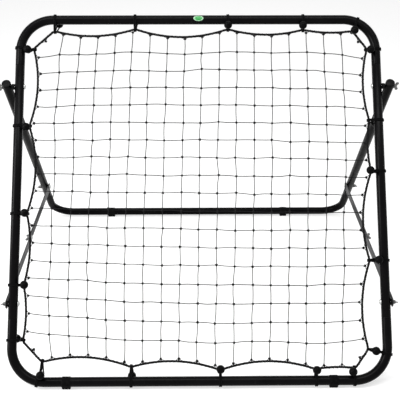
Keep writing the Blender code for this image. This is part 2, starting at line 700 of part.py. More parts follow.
for label, side in (("left", -1), ("right", 1)):
    tube_x = side * SIDE_X
    tube = add_part("frame_side_" + label, side_mesh.copy(), at(tube_x, FRONT_BAR) @ frame_lean,
                    STEEL, frame_foot)
    cut_bolt_hole(tube, PIVOT)
    cut_bolt_hole(tube, STAY_LOW)
    arm = add_part("stand_arm_" + label, arm_mesh.copy(), at(side * ARM_X, PIVOT) @ stand_lean,
                   STEEL, stand_pivot)
    cut_bolt_hole(arm, PIVOT)
    cut_bolt_hole(arm, STAY_HIGH)
    cap_place = at(side * ARM_X, PIVOT - ARM_DOWN * (ARM_TOP + GAP)) @ stand_lean
    add_part("arm_cap_" + label, cap_mesh.copy(), cap_place, PLASTIC, stand_pivot)

    front_x = side * (SIDE_X - FRONT_FOOT_IN)
    rear_x = side * (ARM_X - REAR_FOOT_IN)
    sleeve_foot("foot_front_" + label, front_x, FRONT_BAR, FRONT_SLEEVE_LENGTH, frame_foot)
    sleeve_foot("foot_rear_" + label, rear_x, REAR_BAR, REAR_SLEEVE_LENGTH, stand_pivot)

    out = along_x(side)
    low_joint = add_empty("stay_low_" + label, at(side * LOWER_BAR_IN, STAY_LOW), frame_foot)
    high_joint = add_empty("stay_high_" + label, at(side * UPPER_BAR_IN, STAY_HIGH), stand_pivot)

    # Local X of a lower bar runs back to the middle bolt, of an upper bar forwards to it
    lower_turn = Matrix.Rotation(pi / 2, 4, "Z") @ Matrix.Rotation(pi / 2, 4, "X")
    back = STAY_HIGH - STAY_LOW
    tilt = Matrix.Rotation(atan2(back.z, back.y), 4, "X")
    lower_bar = plate_curve("stay_lower_bar_" + label, bar_outline(), BAR_THICK)
    lower_x = side * (LOWER_BAR_IN + LOWER_BAR_OUT) / 2
    add_part("stay_lower_bar_" + label, lower_bar, at(lower_x, STAY_LOW) @ tilt @ lower_turn,
             BAR_STEEL, low_joint)
    upper_turn = Matrix.Rotation(-pi / 2, 4, "Z") @ Matrix.Rotation(pi / 2, 4, "X")
    upper_bar = plate_curve("stay_upper_bar_" + label, bar_outline(), BAR_THICK)
    upper_x = side * (UPPER_BAR_IN + UPPER_BAR_OUT) / 2
    add_part("stay_upper_bar_" + label, upper_bar, at(upper_x, STAY_HIGH) @ tilt @ upper_turn,
             BAR_STEEL, high_joint)

    head_x = side * (SIDE_X - TUBE_R - GAP)
    add_part("pivot_bolt_" + label, pivot_bolt.copy(), at(head_x, PIVOT) @ out, ZINC, frame_foot)
    add_part("stay_lower_bolt_" + label, low_bolt.copy(), at(head_x, STAY_LOW) @ out, ZINC, frame_foot)
    add_part("stay_upper_bolt_" + label, high_bolt.copy(),
             at(side * (UPPER_BAR_IN - GAP), STAY_HIGH) @ out, ZINC, stand_pivot)
    add_part("stay_mid_bolt_" + label, mid_bolt.copy(),
             at(side * (LOWER_BAR_IN - GAP), STAY_MID) @ out, ZINC, low_joint)
    add_part("pivot_spacer_" + label, pivot_spacer.copy(),
             at(side * (TUBE_FACE + GAP), PIVOT) @ out, PLASTIC, frame_foot)
    add_part("stay_spacer_" + label, stay_spacer.copy(),
             at(side * (TUBE_FACE + GAP), STAY_LOW) @ out, PLASTIC, frame_foot)

    nuts = (("pivot", wing_nut, ARM_OUT, PIVOT, frame_foot),
            ("stay_lower", wing_nut, LOWER_BAR_OUT, STAY_LOW, frame_foot),
            ("stay_upper", wing_nut, ARM_OUT, STAY_HIGH, stand_pivot),
            ("stay_mid", mid_nut, UPPER_BAR_OUT, STAY_MID, high_joint))
    for kind, mesh, seat_x, point, carrier in nuts:
        name = kind + "_wing_nut_" + label
        turn = Matrix.Rotation(side * NUT_TURNS[kind], 4, "Z")
        add_part(name, mesh.copy(), at(side * (seat_x + GAP), point) @ out @ turn, NUT_ZINC, carrier)

# Edge rope, net and bungees
rope_path = (side_rope("top") + list(reversed(side_rope("right")))
             + list(reversed(side_rope("bottom"))) + side_rope("left"))
rope = rod_curve("edge_rope", [on_frame(p) for p in rope_path], ROPE_DIA / 2, 6, True)
add_part("edge_rope", rope, Matrix(), CORD, frame_foot)

net = add_part("net", net_mesh(), Matrix(), TWINE, frame_foot)
strands = net.modifiers.new("strands", "WIREFRAME")
strands.thickness = NET_CORD
strands.use_boundary = True
strands.use_even_offset = True
strands.use_replace = True

for side_name, shares in BUNGEE_SHARES.items():
    for number in range(len(shares)):
        bungee(f"bungee_{side_name}_{number + 1}", side_name, number, frame_foot)

# Oval label on the front of the top tube
label_in = TUBE_R + GAP
band = turned_mesh("label_band", [
    (label_in + LABEL_THICK, LABEL_LENGTH), (label_in + LABEL_THICK, -LABEL_LENGTH),
    (label_in, -LABEL_LENGTH), (label_in, LABEL_LENGTH)], True, 48)
top_axis = FRONT_BAR + FRAME_UP * SPAN_UP
tube_label = add_part("tube_label", band, at(0, top_axis) @ along_x(1), GREEN, frame_foot)
oval = [(LABEL_LENGTH / 2 * x, LABEL_HEIGHT / 2 * y) for x, y in circle(1.0, 20)]
oval_mesh = baked(add_object("oval", plate_curve("oval", [oval], TUBE_DIA), Matrix(), cutters))
face_front = frame_lean @ Matrix.Rotation(pi / 2, 4, "X")
oval_place = at(0, top_axis + FRAME_FRONT * TUBE_R) @ face_front
boolean(tube_label, cutter("label_oval", oval_mesh, oval_place), "INTERSECT")

stand_travel, bar_travel = fold_travel()
print("stand closes by", round(degrees(stand_travel), 3), "degrees")
print("stay bars turn by", round(degrees(bar_travel), 3), "degrees, ratio",
      round(bar_travel / stand_travel, 5))
for title, place in (("pivot", PIVOT), ("stay low", STAY_LOW), ("stay mid", STAY_MID),
                     ("stay high", STAY_HIGH), ("front bar", FRONT_BAR), ("rear bar", REAR_BAR)):
    print(title, [round(value, 6) for value in place])
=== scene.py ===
# %% [markdown]
# # A soccer rebound net, dressed piece by piece
#
# The real thing is a one metre square of black steel tube that leans back, with a knotted net
# stretched inside it by twenty ball bungees. A folding stand with two arms and jointed stays holds
# it up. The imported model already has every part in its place, with its joints; this script gives
# each part its fine shape and its finish. Everything is in metres, +Z is up, and the net faces -Y.

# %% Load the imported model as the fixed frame
from math import acos, asin, atan2, copysign, cos, hypot, pi, radians, sin, sqrt

import bmesh
import bpy
import numpy as np
from mathutils import Matrix, Vector


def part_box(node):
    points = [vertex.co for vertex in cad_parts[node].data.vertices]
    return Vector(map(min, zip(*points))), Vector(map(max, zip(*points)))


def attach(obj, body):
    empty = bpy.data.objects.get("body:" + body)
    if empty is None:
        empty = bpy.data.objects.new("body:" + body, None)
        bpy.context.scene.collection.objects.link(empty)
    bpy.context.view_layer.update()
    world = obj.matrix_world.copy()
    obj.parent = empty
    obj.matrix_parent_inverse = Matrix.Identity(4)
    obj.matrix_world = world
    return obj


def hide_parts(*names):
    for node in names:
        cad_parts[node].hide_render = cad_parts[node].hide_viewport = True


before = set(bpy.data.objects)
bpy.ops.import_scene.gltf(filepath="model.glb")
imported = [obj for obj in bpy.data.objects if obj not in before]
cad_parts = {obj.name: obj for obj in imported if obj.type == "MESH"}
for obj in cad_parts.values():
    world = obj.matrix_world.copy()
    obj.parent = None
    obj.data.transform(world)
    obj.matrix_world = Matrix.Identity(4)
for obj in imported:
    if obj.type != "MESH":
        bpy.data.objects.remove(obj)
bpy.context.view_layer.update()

# %% [markdown]
# ## Where things are
# On the real product every part hangs from a few bolt axes and tube axes. They could be typed in
# as coordinates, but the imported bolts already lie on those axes, so their boxes give the places
# exactly and nothing has to be fitted by eye. Two unit vectors then do most of the work: `UP` runs
# along the leaning side tubes and `FRONT` points out of the net towards the player.

# %% Tube sizes, directions and joint centres
TUBE_R = 0.0125
TUBE_WALL = 0.001
SIDE_X = 0.4875
SPAN_UP = 0.975
CORNER_R = 0.0875
STAND_CORNER_R = 0.070
PIVOT_UP = 0.785
ARM_LENGTH = 0.780
BAR_UP = 0.0173
LEAN = radians(36.0)
UP = Vector((0, sin(LEAN), cos(LEAN)))
FRONT = Vector((0, -cos(LEAN), sin(LEAN)))
SIDES = (("left", -1), ("right", 1))


def joint_centre(node):
    """Point on the centre plane that a bolt's axis passes through."""
    low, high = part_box(node)
    return Vector((0, (low[1] + high[1]) / 2, (low[2] + high[2]) / 2))


PIVOT = joint_centre("pivot_bolt_left")
STAY_LOW = joint_centre("stay_lower_bolt_left")
STAY_HIGH = joint_centre("stay_upper_bolt_left")
STAY_MID = joint_centre("stay_mid_bolt_left")
ARM_DOWN = (STAY_HIGH - PIVOT).normalized()
FRONT_BAR = PIVOT - UP * PIVOT_UP
REAR_BAR = PIVOT + ARM_DOWN * ARM_LENGTH
FRONT_BAR.z = REAR_BAR.z = BAR_UP
print("pivot", [round(v, 4) for v in PIVOT], "rear bar", [round(v, 4) for v in REAR_BAR])

# %% [markdown]
# ## The camera
# The photograph was taken from a little above the frame's top, looking down at it. Blender's lens
# and sensor describe a picture's angle of view; on a square picture the 36 mm sensor is its side.
# The rotation is written as turns about the camera's own axes, so yaw, pitch and roll stay
# readable.

# %% Camera at the photograph's angle
CAMERA_PLACE = Vector((-0.01943, -1.95241, 1.33609))
CAMERA_LENS = 67.6412
CAMERA_TURNS = (radians(-0.6857), radians(-27.8427), radians(-0.0965))

camera_data = bpy.data.cameras.new("camera")
camera_data.lens = CAMERA_LENS
camera_data.sensor_width = 36.0
camera = bpy.data.objects.new("camera", camera_data)
bpy.context.scene.collection.objects.link(camera)
yaw, pitch, roll = CAMERA_TURNS
camera.matrix_world = (
    Matrix.Translation(CAMERA_PLACE) @ Matrix.Rotation(yaw, 4, "Z") @ Matrix.Rotation(pitch, 4, "X")
    @ Matrix.Rotation(roll, 4, "Y") @ Matrix.Rotation(pi / 2, 4, "X"))
bpy.context.scene.camera = camera
print("camera at", [round(v, 3) for v in camera.location])

# %% [markdown]
# ## Studio light and floor
# A product photograph on white needs an even sky and a pale floor, and black tube needs lamps whose
# shine runs along it: a tall strip at the left and a wide one overhead, with two weak lamps to open
# the shadows. Making the lamps brighter until the floor burns out would also bleach the object.
# Instead the world and the floor only look white to camera, glossy and transmission rays, through
# the Light Path node, while the light that falls on the object stays at a plain level and the floor
# still takes its shadow.

# %% World
bpy.context.scene.view_settings.view_transform = "Standard"
SKY_LIGHT = 0.55


def seen_directly(tree):
    """Is this ray a camera, glossy or transmission ray? Gives 0 or 1."""
    path = tree.nodes.new("ShaderNodeLightPath")
    seen = path.outputs["Is Camera Ray"]
    for kind in ("Is Glossy Ray", "Is Transmission Ray"):
        either = tree.nodes.new("ShaderNodeMath")
        either.operation = "MAXIMUM"
        tree.links.new(seen, either.inputs[0])
        tree.links.new(path.outputs[kind], either.inputs[1])
        seen = either.outputs[0]
    return seen


def scaled(tree, value, factor, start):
    """value * factor + start, as one Math node."""
    node = tree.nodes.new("ShaderNodeMath")
    node.operation = "MULTIPLY_ADD"
    tree.links.new(value, node.inputs[0])
    node.inputs[1].default_value = factor
    node.inputs[2].default_value = start
    return node.outputs[0]


world = bpy.data.worlds.new("studio")
bpy.context.scene.world = world
world.use_nodes = True
sky = world.node_tree.nodes["Background"]
sky.inputs["Color"].default_value = (1, 1, 1, 1)
strength = scaled(world.node_tree, seen_directly(world.node_tree), 1.0 - SKY_LIGHT, SKY_LIGHT)
world.node_tree.links.new(strength, sky.inputs["Strength"])
print("the sky lights the object at", SKY_LIGHT)

# %% Lamps, each with its place, target, width, height and watts
LAMPS = (
    ("key", (-2.5, -1.0, 1.7), (0, 0, 0.8), 0.7, 2.5, 95),
    ("overhead", (0.0, -0.8, 3.1), (0, 0, 0.4), 2.4, 0.9, 46),
    ("fill", (2.6, -1.4, 2.4), (0, 0, 0.4), 2.2, 2.2, 4),
    ("back", (0.3, 2.6, 2.8), (0, 0, 0.4), 2.2, 2.2, 8),
)
for name, place, target, width, height, watts in LAMPS:
    data = bpy.data.lights.new(name, "AREA")
    data.energy = watts
    data.shape = "RECTANGLE"
    data.size, data.size_y = width, height
    lamp = bpy.data.objects.new(name, data)
    lamp.location = place
    lamp.rotation_euler = (Vector(target) - Vector(place)).to_track_quat("-Z", "Y").to_euler()
    bpy.context.scene.collection.objects.link(lamp)
print(len(LAMPS), "lamps, the strongest of", max(lamp[-1] for lamp in LAMPS), "W")

# %% Floor
FLOOR_HALF = 20.0
FLOOR_GREY = 0.52
FLOOR_LIFT = 0.57

floor_mesh = bpy.data.meshes.new("floor")
bm = bmesh.new()
bmesh.ops.create_grid(bm, x_segments=1, y_segments=1, size=FLOOR_HALF)
bm.to_mesh(floor_mesh)
bm.free()
floor = bpy.data.objects.new("floor", floor_mesh)
bpy.context.scene.collection.objects.link(floor)
floor_finish = bpy.data.materials.new("pale_floor")
floor_finish.use_nodes = True
floor_tree = floor_finish.node_tree
floor_shader = floor_tree.nodes["Principled BSDF"]
for socket, value in (("Base Color", (FLOOR_GREY, FLOOR_GREY, FLOOR_GREY, 1)), ("Roughness", 0.9),
                      ("Specular IOR Level", 0.1), ("Emission Color", (1, 1, 1, 1))):
    floor_shader.inputs[socket].default_value = value
lift = scaled(floor_tree, seen_directly(floor_tree), FLOOR_LIFT, 0.0)
floor_tree.links.new(lift, floor_shader.inputs["Emission Strength"])
floor_mesh.materials.append(floor_finish)
print("the floor looks", FLOOR_LIFT, "brighter than it lights")

# %% [markdown]
# ## Meshes from rings of points
# Tubes, ropes, bolts and balls are all the same idea: a ring of points that moves along a line or
# turns about an axis. Blender's curves and its Screw modifier make such skins too, but rings worked
# out with numpy also carry a UV map, here called `lay`, that says how far round and how far along
# each face is. The woven finishes need exactly that. A part is kept as points, faces and UVs, so
# that many of them can go into one mesh.

# %% Ring skins
def unit(vectors):
    return vectors / np.linalg.norm(vectors, axis=-1, keepdims=True)


def running_length(points, least=0.0):
    """Distance along a line of points; least keeps even coinciding points apart."""
    return np.append(0, np.cumsum(np.linalg.norm(np.diff(points, axis=0), axis=1) + least))


def skin_part(rings, along, loop_round=True, loop_along=False):
    """Points, faces and UVs of a grid of rings, shaped (rings, points in a ring, 3)."""
    rows, cols = rings.shape[:2]
    i, j = np.meshgrid(np.arange(rows if loop_along else rows - 1),
                       np.arange(cols if loop_round else cols - 1), indexing="ij")
    i, j = i.ravel(), j.ravel()
    i_next, j_next = (i + 1) % rows, (j + 1) % cols
    corners = (i * cols + j, i * cols + j_next, i_next * cols + j_next, i_next * cols + j)
    ends = np.append(along, 2 * along[-1] - along[-2])
    u0, u1, v0, v1 = j / cols, (j + 1) / cols, ends[i], ends[i + 1]
    uvs = np.stack([u0, v0, u1, v0, u1, v1, u0, v1], 1).reshape(-1, 4, 2)
    return rings.reshape(-1, 3), np.stack(corners, 1), uvs


print("two rings of 6 points:", len(skin_part(np.zeros((2, 6, 3)), np.arange(2.0))[1]), "faces")

# %% From parts to one mesh
WELD = 2e-7


def smooth_shaded(mesh, sharp):
    """Smooth shading, but for edges sharper than the given degrees."""
    mesh.shade_smooth()
    mesh.set_sharp_from_angle(angle=radians(sharp))
    return mesh


def welded(mesh, distance=WELD):
    """Points that coincide are made one."""
    bm = bmesh.new()
    bm.from_mesh(mesh)
    bmesh.ops.remove_doubles(bm, verts=bm.verts, dist=distance)
    bm.to_mesh(mesh)
    bm.free()
    return mesh


def mesh_from(name, parts, sharp=40.0):
    """One smooth mesh from parts."""
    first = np.cumsum([0] + [len(points) for points, _, _ in parts])
    points = np.concatenate([p for p, _, _ in parts])
    faces = np.concatenate([f + start for (_, f, _), start in zip(parts, first)])
    uvs = np.concatenate([uv for _, _, uv in parts])
    mesh = bpy.data.meshes.new(name)
    mesh.from_pydata(points.tolist(), [], faces.tolist())
    mesh.uv_layers.new(name="lay").uv.foreach_set("vector", uvs.astype(np.float32).ravel())
    return smooth_shaded(welded(mesh), sharp)


print("points less than", WELD, "m apart become one")

# %% Turned parts
APART = 1e-9


def turned_part(profile, steps=48):
    """Skin turned about Z from (radius, height) pairs; the profile runs up the outer side."""
    profile = np.asarray(profile, float)
    turn = 2 * pi * np.arange(steps) / steps
    ring = np.stack([np.cos(turn), np.sin(turn), np.zeros(steps)], 1)
    rings = profile[:, 0, None, None] * ring + profile[:, 1, None, None] * np.array([0, 0, 1.0])
    return skin_part(rings, running_length(profile, APART))


def rounded(profile, radius, steps=4):
    """The profile with each inner corner replaced by a small arc-like curve."""
    points = [np.asarray(p, float) for p in profile]
    out = [points[0]]
    for before, corner, after in zip(points, points[1:], points[2:]):
        back, ahead = before - corner, after - corner
        reach = min(radius, np.linalg.norm(back) * 0.45, np.linalg.norm(ahead) * 0.45)
        start, end = corner + unit(back) * reach, corner + unit(ahead) * reach
        for s in np.linspace(0, 1, steps + 1):
            out.append(start * (1 - s) ** 2 + corner * 2 * s * (1 - s) + end * s ** 2)
    return np.array(out + [points[-1]])


print("a rounded square profile:", len(rounded([(0, 0), (1, 0), (1, 1), (0, 1)], 0.1)), "points")


# %% Pieces, and what they stand for
def new_piece(name, mesh, place=Matrix()):
    piece = bpy.data.objects.new(name, mesh)
    piece.matrix_world = place
    bpy.context.scene.collection.objects.link(piece)
    return piece


def dress(piece, finish, slot, body, *nodes):
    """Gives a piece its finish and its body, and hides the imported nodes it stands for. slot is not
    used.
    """
    if finish is not None:
        piece.data.materials.append(finish)
    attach(piece, body)
    if nodes:
        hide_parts(*nodes)
    return piece


print("the pieces have to stand for", len(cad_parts), "packed nodes")

# %% [markdown]
# A tube needs to know which way is "sideways" at each point of its line. Working that out afresh at
# every point makes the skin twist where the line turns; carrying the last direction along, and only
# taking out what now points forwards, keeps the skin calm. On a closed loop the small turn that is
# left at the end is shared out over all the rings.

# %% Directions round a line
def ring_directions(path, closed):
    """Unit tangent and two side directions at each point of a line."""
    ahead = np.roll(path, -1, 0) - path
    behind = path - np.roll(path, 1, 0)
    if not closed:
        ahead[-1], behind[0] = behind[-1], ahead[0]
    tangent = unit(unit(ahead) + unit(behind))
    helper = np.eye(3)[np.argmin(np.abs(tangent[0]))]
    side = np.zeros_like(path)
    side[0] = unit(np.cross(tangent[0], helper))
    for k in range(1, len(path)):
        side[k] = unit(side[k - 1] - tangent[k] * (side[k - 1] @ tangent[k]))
    other = np.cross(tangent, side)
    if closed:
        last = unit(side[-1] - tangent[0] * (side[-1] @ tangent[0]))
        error = atan2(last @ other[0], last @ side[0])
        turn = -error * np.arange(len(path))[:, None] / len(path)
        side, other = (side * np.cos(turn) + other * np.sin(turn),
                       other * np.cos(turn) - side * np.sin(turn))
    return tangent, side, other


def ring_vectors(side, other, sides):
    """How far round each point of a ring lies, and its direction from the line."""
    turn = 2 * pi * np.arange(sides) / sides
    return turn, (np.cos(turn)[None, :, None] * side[:, None]
                  + np.sin(turn)[None, :, None] * other[:, None])


z_line = np.array([(0, 0, 0), (0, 0, 1.0)])
print("sideways of a line along Z:", ring_directions(z_line, False)[1][0])


# %% Tubes along a line
def tube_part(path, radius, sides, closed=False, relief=None):
    """Tube along a line; relief(round, along) adds height to its skin."""
    path = np.asarray(path, float)
    _, side, other = ring_directions(path, closed)
    turn, vectors = ring_vectors(side, other, sides)
    along = running_length(path)
    reach = np.broadcast_to(radius, (len(path), sides)).astype(float)
    if relief:
        reach = reach + relief(turn[None, :] / (2 * pi), along[:, None])
    rings = path[:, None] + reach[..., None] * vectors
    if not closed:
        ends = np.repeat(path[[0, -1], None], sides, axis=1)
        rings = np.concatenate([ends[:1], rings, ends[1:]])
        along = np.concatenate([along[:1], along, along[-1:]])
    return skin_part(rings, along, loop_along=closed)


print("a two-ring tube:", len(tube_part(z_line, TUBE_R, 6)[1]), "faces")


# %% Even and softened lines
def evenly(path, spacing, closed=False):
    """Points at an even spacing along a line."""
    path = np.asarray(path, float)
    if closed:
        path = np.concatenate([path, path[:1]])
    along = running_length(path)
    count = max(2, round(along[-1] / spacing))
    at = np.linspace(0, along[-1], count + 1)
    points = np.stack([np.interp(at, along, axis) for axis in path.T], 1)
    return points[:-1] if closed else points


def softened(path, spacing, width, closed=False):
    """An evenly spaced line whose corners are rounded over about the given width."""
    points = evenly(path, spacing, closed)
    reach = max(1, round(3 * width / spacing))
    weights = np.exp(-0.5 * (np.arange(-reach, reach + 1) * spacing / width) ** 2)
    weights /= weights.sum()
    if closed:
        index = np.arange(-reach, len(points) + reach) % len(points)
        wide = points[index]
    else:
        head = 2 * points[0] - points[reach:0:-1]
        tail = 2 * points[-1] - points[-2:-reach - 2:-1]
        wide = np.concatenate([head, points, tail])
    return np.stack([np.convolve(axis, weights, "valid") for axis in wide.T], 1)


print("a softened angle:", len(softened([(0, 0), (1, 0), (1, 1)], 0.01, 0.03)), "points")

# %% [markdown]
# ## Finishes made of nodes
# Real surfaces are never one flat colour: powder coat has a fine orange peel, zinc has cloudy
# patches, rubber is dusty. Pictures of such surfaces would do, but noise nodes need no files and
# have no seams. The helpers below wire a Principled shader from short descriptions: a colour that
# drifts between two tones, a roughness that drifts between two values, and a bump.

# %% A finish, and noise for it
def new_finish(name, roughness=0.5, metallic=0.0, specular=0.5):
    """A material with a Principled shader whose fixed numbers are set on its own sockets."""
    finish = bpy.data.materials.new(name)
    finish.use_nodes = True
    shader = finish.node_tree.nodes["Principled BSDF"]
    shader.inputs["Roughness"].default_value = roughness
    shader.inputs["Metallic"].default_value = metallic
    shader.inputs["Specular IOR Level"].default_value = specular
    return finish, finish.node_tree, shader


def noise(tree, scale, detail=2.0, stretch=(1, 1, 1)):
    """Noise in the piece's own coordinates, with so many waves to the metre."""
    place = tree.nodes.new("ShaderNodeTexCoord")
    mapping = tree.nodes.new("ShaderNodeMapping")
    mapping.inputs["Scale"].default_value = stretch
    tree.links.new(place.outputs["Object"], mapping.inputs["Vector"])
    node = tree.nodes.new("ShaderNodeTexNoise")
    node.inputs["Scale"].default_value = scale
    node.inputs["Detail"].default_value = detail
    tree.links.new(mapping.outputs["Vector"], node.inputs["Vector"])
    return node.outputs["Fac"]


print("helpers for a finish and its noise are ready")


# %% Ranges, mixes and sums
def ranged(tree, value, low, high, new_low, new_high):
    """Moves a value from one range to another, and holds it there."""
    node = tree.nodes.new("ShaderNodeMapRange")
    for socket, number in zip(("From Min", "From Max", "To Min", "To Max"),
                              (low, high, new_low, new_high)):
        node.inputs[socket].default_value = number
    tree.links.new(value, node.inputs["Value"])
    return node.outputs["Result"]


def mixed(tree, factor, first, second):
    """Colour between two, each an RGB tuple or the output of another node."""
    node = tree.nodes.new("ShaderNodeMix")
    node.data_type = "RGBA"
    tree.links.new(factor, node.inputs["Factor"])
    for socket, colour in ((node.inputs["A"], first), (node.inputs["B"], second)):
        if isinstance(colour, tuple):
            socket.default_value = (*colour, 1.0)
        else:
            tree.links.new(colour, socket)
    return node.outputs["Result"]


def maths(tree, operation, first, second=0.0):
    """A Math node; each value is a number or the output of another node."""
    node = tree.nodes.new("ShaderNodeMath")
    node.operation = operation
    for socket, value in zip(node.inputs, (first, second)):
        if isinstance(value, (int, float)):
            socket.default_value = value
        else:
            tree.links.new(value, socket)
    return node.outputs[0]


def split_axes(tree, vector):
    """X and Y of a vector output."""
    split = tree.nodes.new("ShaderNodeSeparateXYZ")
    tree.links.new(vector, split.inputs[0])
    return split.outputs["X"], split.outputs["Y"]


print("helpers for ranges, mixes and sums are ready")


# %% Bumps, and a whole cloudy finish
def bump(tree, shader, heights):
    """Chains bumps given as (height output, strength, distance in metres)."""
    normal = None
    for height, strength, distance in heights:
        node = tree.nodes.new("ShaderNodeBump")
        node.inputs["Strength"].default_value = strength
        node.inputs["Distance"].default_value = distance
        tree.links.new(height, node.inputs["Height"])
        if normal is not None:
            tree.links.new(normal, node.inputs["Normal"])
        normal = node.outputs["Normal"]
    tree.links.new(normal, shader.inputs["Normal"])


def cloudy_finish(name, clouds, tones, gloss, grains, spread=(0.3, 0.7), **fixed):
    """Finish whose colour and roughness drift with noise, over a bump of finer grains.

    clouds is (waves, detail), gloss (waves, detail, smoothest, roughest), and each of the grains
    (waves, detail, strength, height).
    """
    finish, tree, shader = new_finish(name, **fixed)
    cloud = ranged(tree, noise(tree, *clouds), *spread, 0, 1)
    tree.links.new(mixed(tree, cloud, *tones), shader.inputs["Base Color"])
    tree.links.new(ranged(tree, noise(tree, *gloss[:2]), 0.3, 0.7, *gloss[2:]),
                   shader.inputs["Roughness"])
    if grains:
        bump(tree, shader, [(noise(tree, *grain[:2]), *grain[2:]) for grain in grains])
    return finish


print("helpers for bumps and cloudy finishes are ready")

# %% [markdown]
# ## Powder-coated steel
# The frame is black powder coat: satin, with a fine orange peel and here and there a dull scuff.
# Plain black paint in Blender reflects the white studio far too brightly, so the specular level is
# low, as it is on a matt-black coat full of carbon pigment. The stand's tubes lean over the white
# floor and mirror it, so their copy of the coat is duller still.

# %% Powder coat finish
FRAME_SPECULAR, STAND_SPECULAR = 0.05, 0.026

powder_coat, tree, shader = new_finish("powder_coat", specular=FRAME_SPECULAR)
drift = ranged(tree, noise(tree, 14, 3), 0.35, 0.65, 0, 1)
scuff = ranged(tree, noise(tree, 75, 8, (1, 1, 0.35)), 0.66, 0.74, 0, 1)
tone = mixed(tree, drift, (0.0014, 0.0013, 0.0016), (0.0030, 0.0028, 0.0031))
tree.links.new(mixed(tree, maths(tree, "MULTIPLY", scuff, 0.5), tone, (0.022, 0.021, 0.021)),
               shader.inputs["Base Color"])
satin = ranged(tree, noise(tree, 40, 4), 0.3, 0.7, 0.22, 0.32)
tree.links.new(maths(tree, "ADD", satin, maths(tree, "MULTIPLY", scuff, 0.2)),
               shader.inputs["Roughness"])
bump(tree, shader, [(noise(tree, 900, 2), 0.22, 0.0002), (noise(tree, 260, 1), 0.10, 0.0003)])
stand_coat = powder_coat.copy()
stand_coat.name = "powder_coat_stand"
stand_shader = stand_coat.node_tree.nodes["Principled BSDF"]
stand_shader.inputs["Specular IOR Level"].default_value = STAND_SPECULAR
print("powder coat:", len(tree.nodes), "nodes")

# %% [markdown]
# ## The tubes
# The square is made of two U-shaped bows and two straight sides. The sides are thinned at both ends
# and plugged into the bows, which leaves a fine seam. The rear stand is one more bow with two
# straight arms. Each tube is a real hollow skin: a loop of outer wall, rim, inner wall and rim,
# swept along the tube's line, so the open ends show their wall.

# %% Lines of arcs and bows
STRAIGHT_END = 0.002


def arc(centre, radius, start, end, steps):
    """Points (x, y) along an arc."""
    turn = np.linspace(start, end, steps + 1)
    return [(centre[0] + radius * cos(t), centre[1] + radius * sin(t)) for t in turn]


def bow_line(half_width, leg, corner_r):
    """Centre line of a U in the XZ plane, with its legs pointing up."""
    line = [(-half_width, leg), (-half_width, leg - STRAIGHT_END)]
    line += arc((corner_r - half_width, corner_r), corner_r, pi, 1.5 * pi, 28)
    line += arc((half_width - corner_r, corner_r), corner_r, 1.5 * pi, 2 * pi, 28)
    line += [(half_width, leg - STRAIGHT_END), (half_width, leg)]
    return np.array([(x, 0, z) for x, z in line])


print("a bow's line has", len(bow_line(SIDE_X, 0.2, CORNER_R)), "points")

# %% Hollow tubes
RIM = 0.0003


def hollow_part(path, radii, wall=TUBE_WALL, sides=56):
    """Hollow tube along a line: the outer wall, a rounded rim, the inner wall and the other rim."""
    path = np.asarray(path, float)
    radii = np.broadcast_to(radii, len(path))
    tangent, side, other = ring_directions(path, False)
    _, ring = ring_vectors(side, other, sides)
    rim = [(-wall / 2, 0.0), (-RIM * 0.3, RIM * 0.3), (0.0, RIM)]
    rings = [path[0] + tangent[0] * back + ring[0] * (radii[0] + off) for off, back in rim]
    rings += [path[k] + ring[k] * radii[k] for k in range(1, len(path) - 1)]
    rings += [path[-1] - tangent[-1] * back + ring[-1] * (radii[-1] + off)
              for off, back in reversed(rim)]
    rings += [path[k] + ring[k] * (radii[k] - wall) for k in reversed(range(len(path)))]
    rings = np.array(rings)
    return skin_part(rings, running_length(rings[:, 0]), loop_along=True)


print("a straight one:", len(hollow_part(z_line, TUBE_R)[1]), "faces")

# %% Tube ends, plain or thinned to plug into the next tube
SPIGOT = 0.040
SPIGOT_R = 0.01077
SHOULDER = 0.0003
SHOULDER_BACK, SHOULDER_OUT = 0.0004, 0.0002


def tube_end(z, out, plugged):
    """Stops (height, radius) from full size to a tube's end; out is -1 at the low end."""
    if not plugged:
        return [(z - out * SHOULDER_BACK, TUBE_R), (z, TUBE_R)]
    return [(z - out * SHOULDER_BACK, TUBE_R), (z, TUBE_R - SHOULDER),
            (z + out * SHOULDER_OUT, SPIGOT_R), (z + out * SPIGOT, SPIGOT_R)]


def side_line(low, high, plugged_high):
    """Straight tube line with its radii: full size between the joints, thinned beyond them."""
    stops = tube_end(low, -1, True)[::-1] + tube_end(high, 1, plugged_high)
    return np.array([(0, 0, z) for z, _ in stops]), np.array([r for _, r in stops])


def at(x, point):
    """World place of a side-view point at the given x."""
    return Matrix.Translation((x, point.y, point.z))


print("a plug leaves", round(TUBE_R - TUBE_WALL - SPIGOT_R, 5), "m of play in the next tube")

# %% The three bows
SEAM = 0.0003
LOWER_JOINT, UPPER_JOINT, STAND_JOINT = 0.160, 0.130, 0.140
ARM_X = 0.5207
ARM_TOP = 0.0145

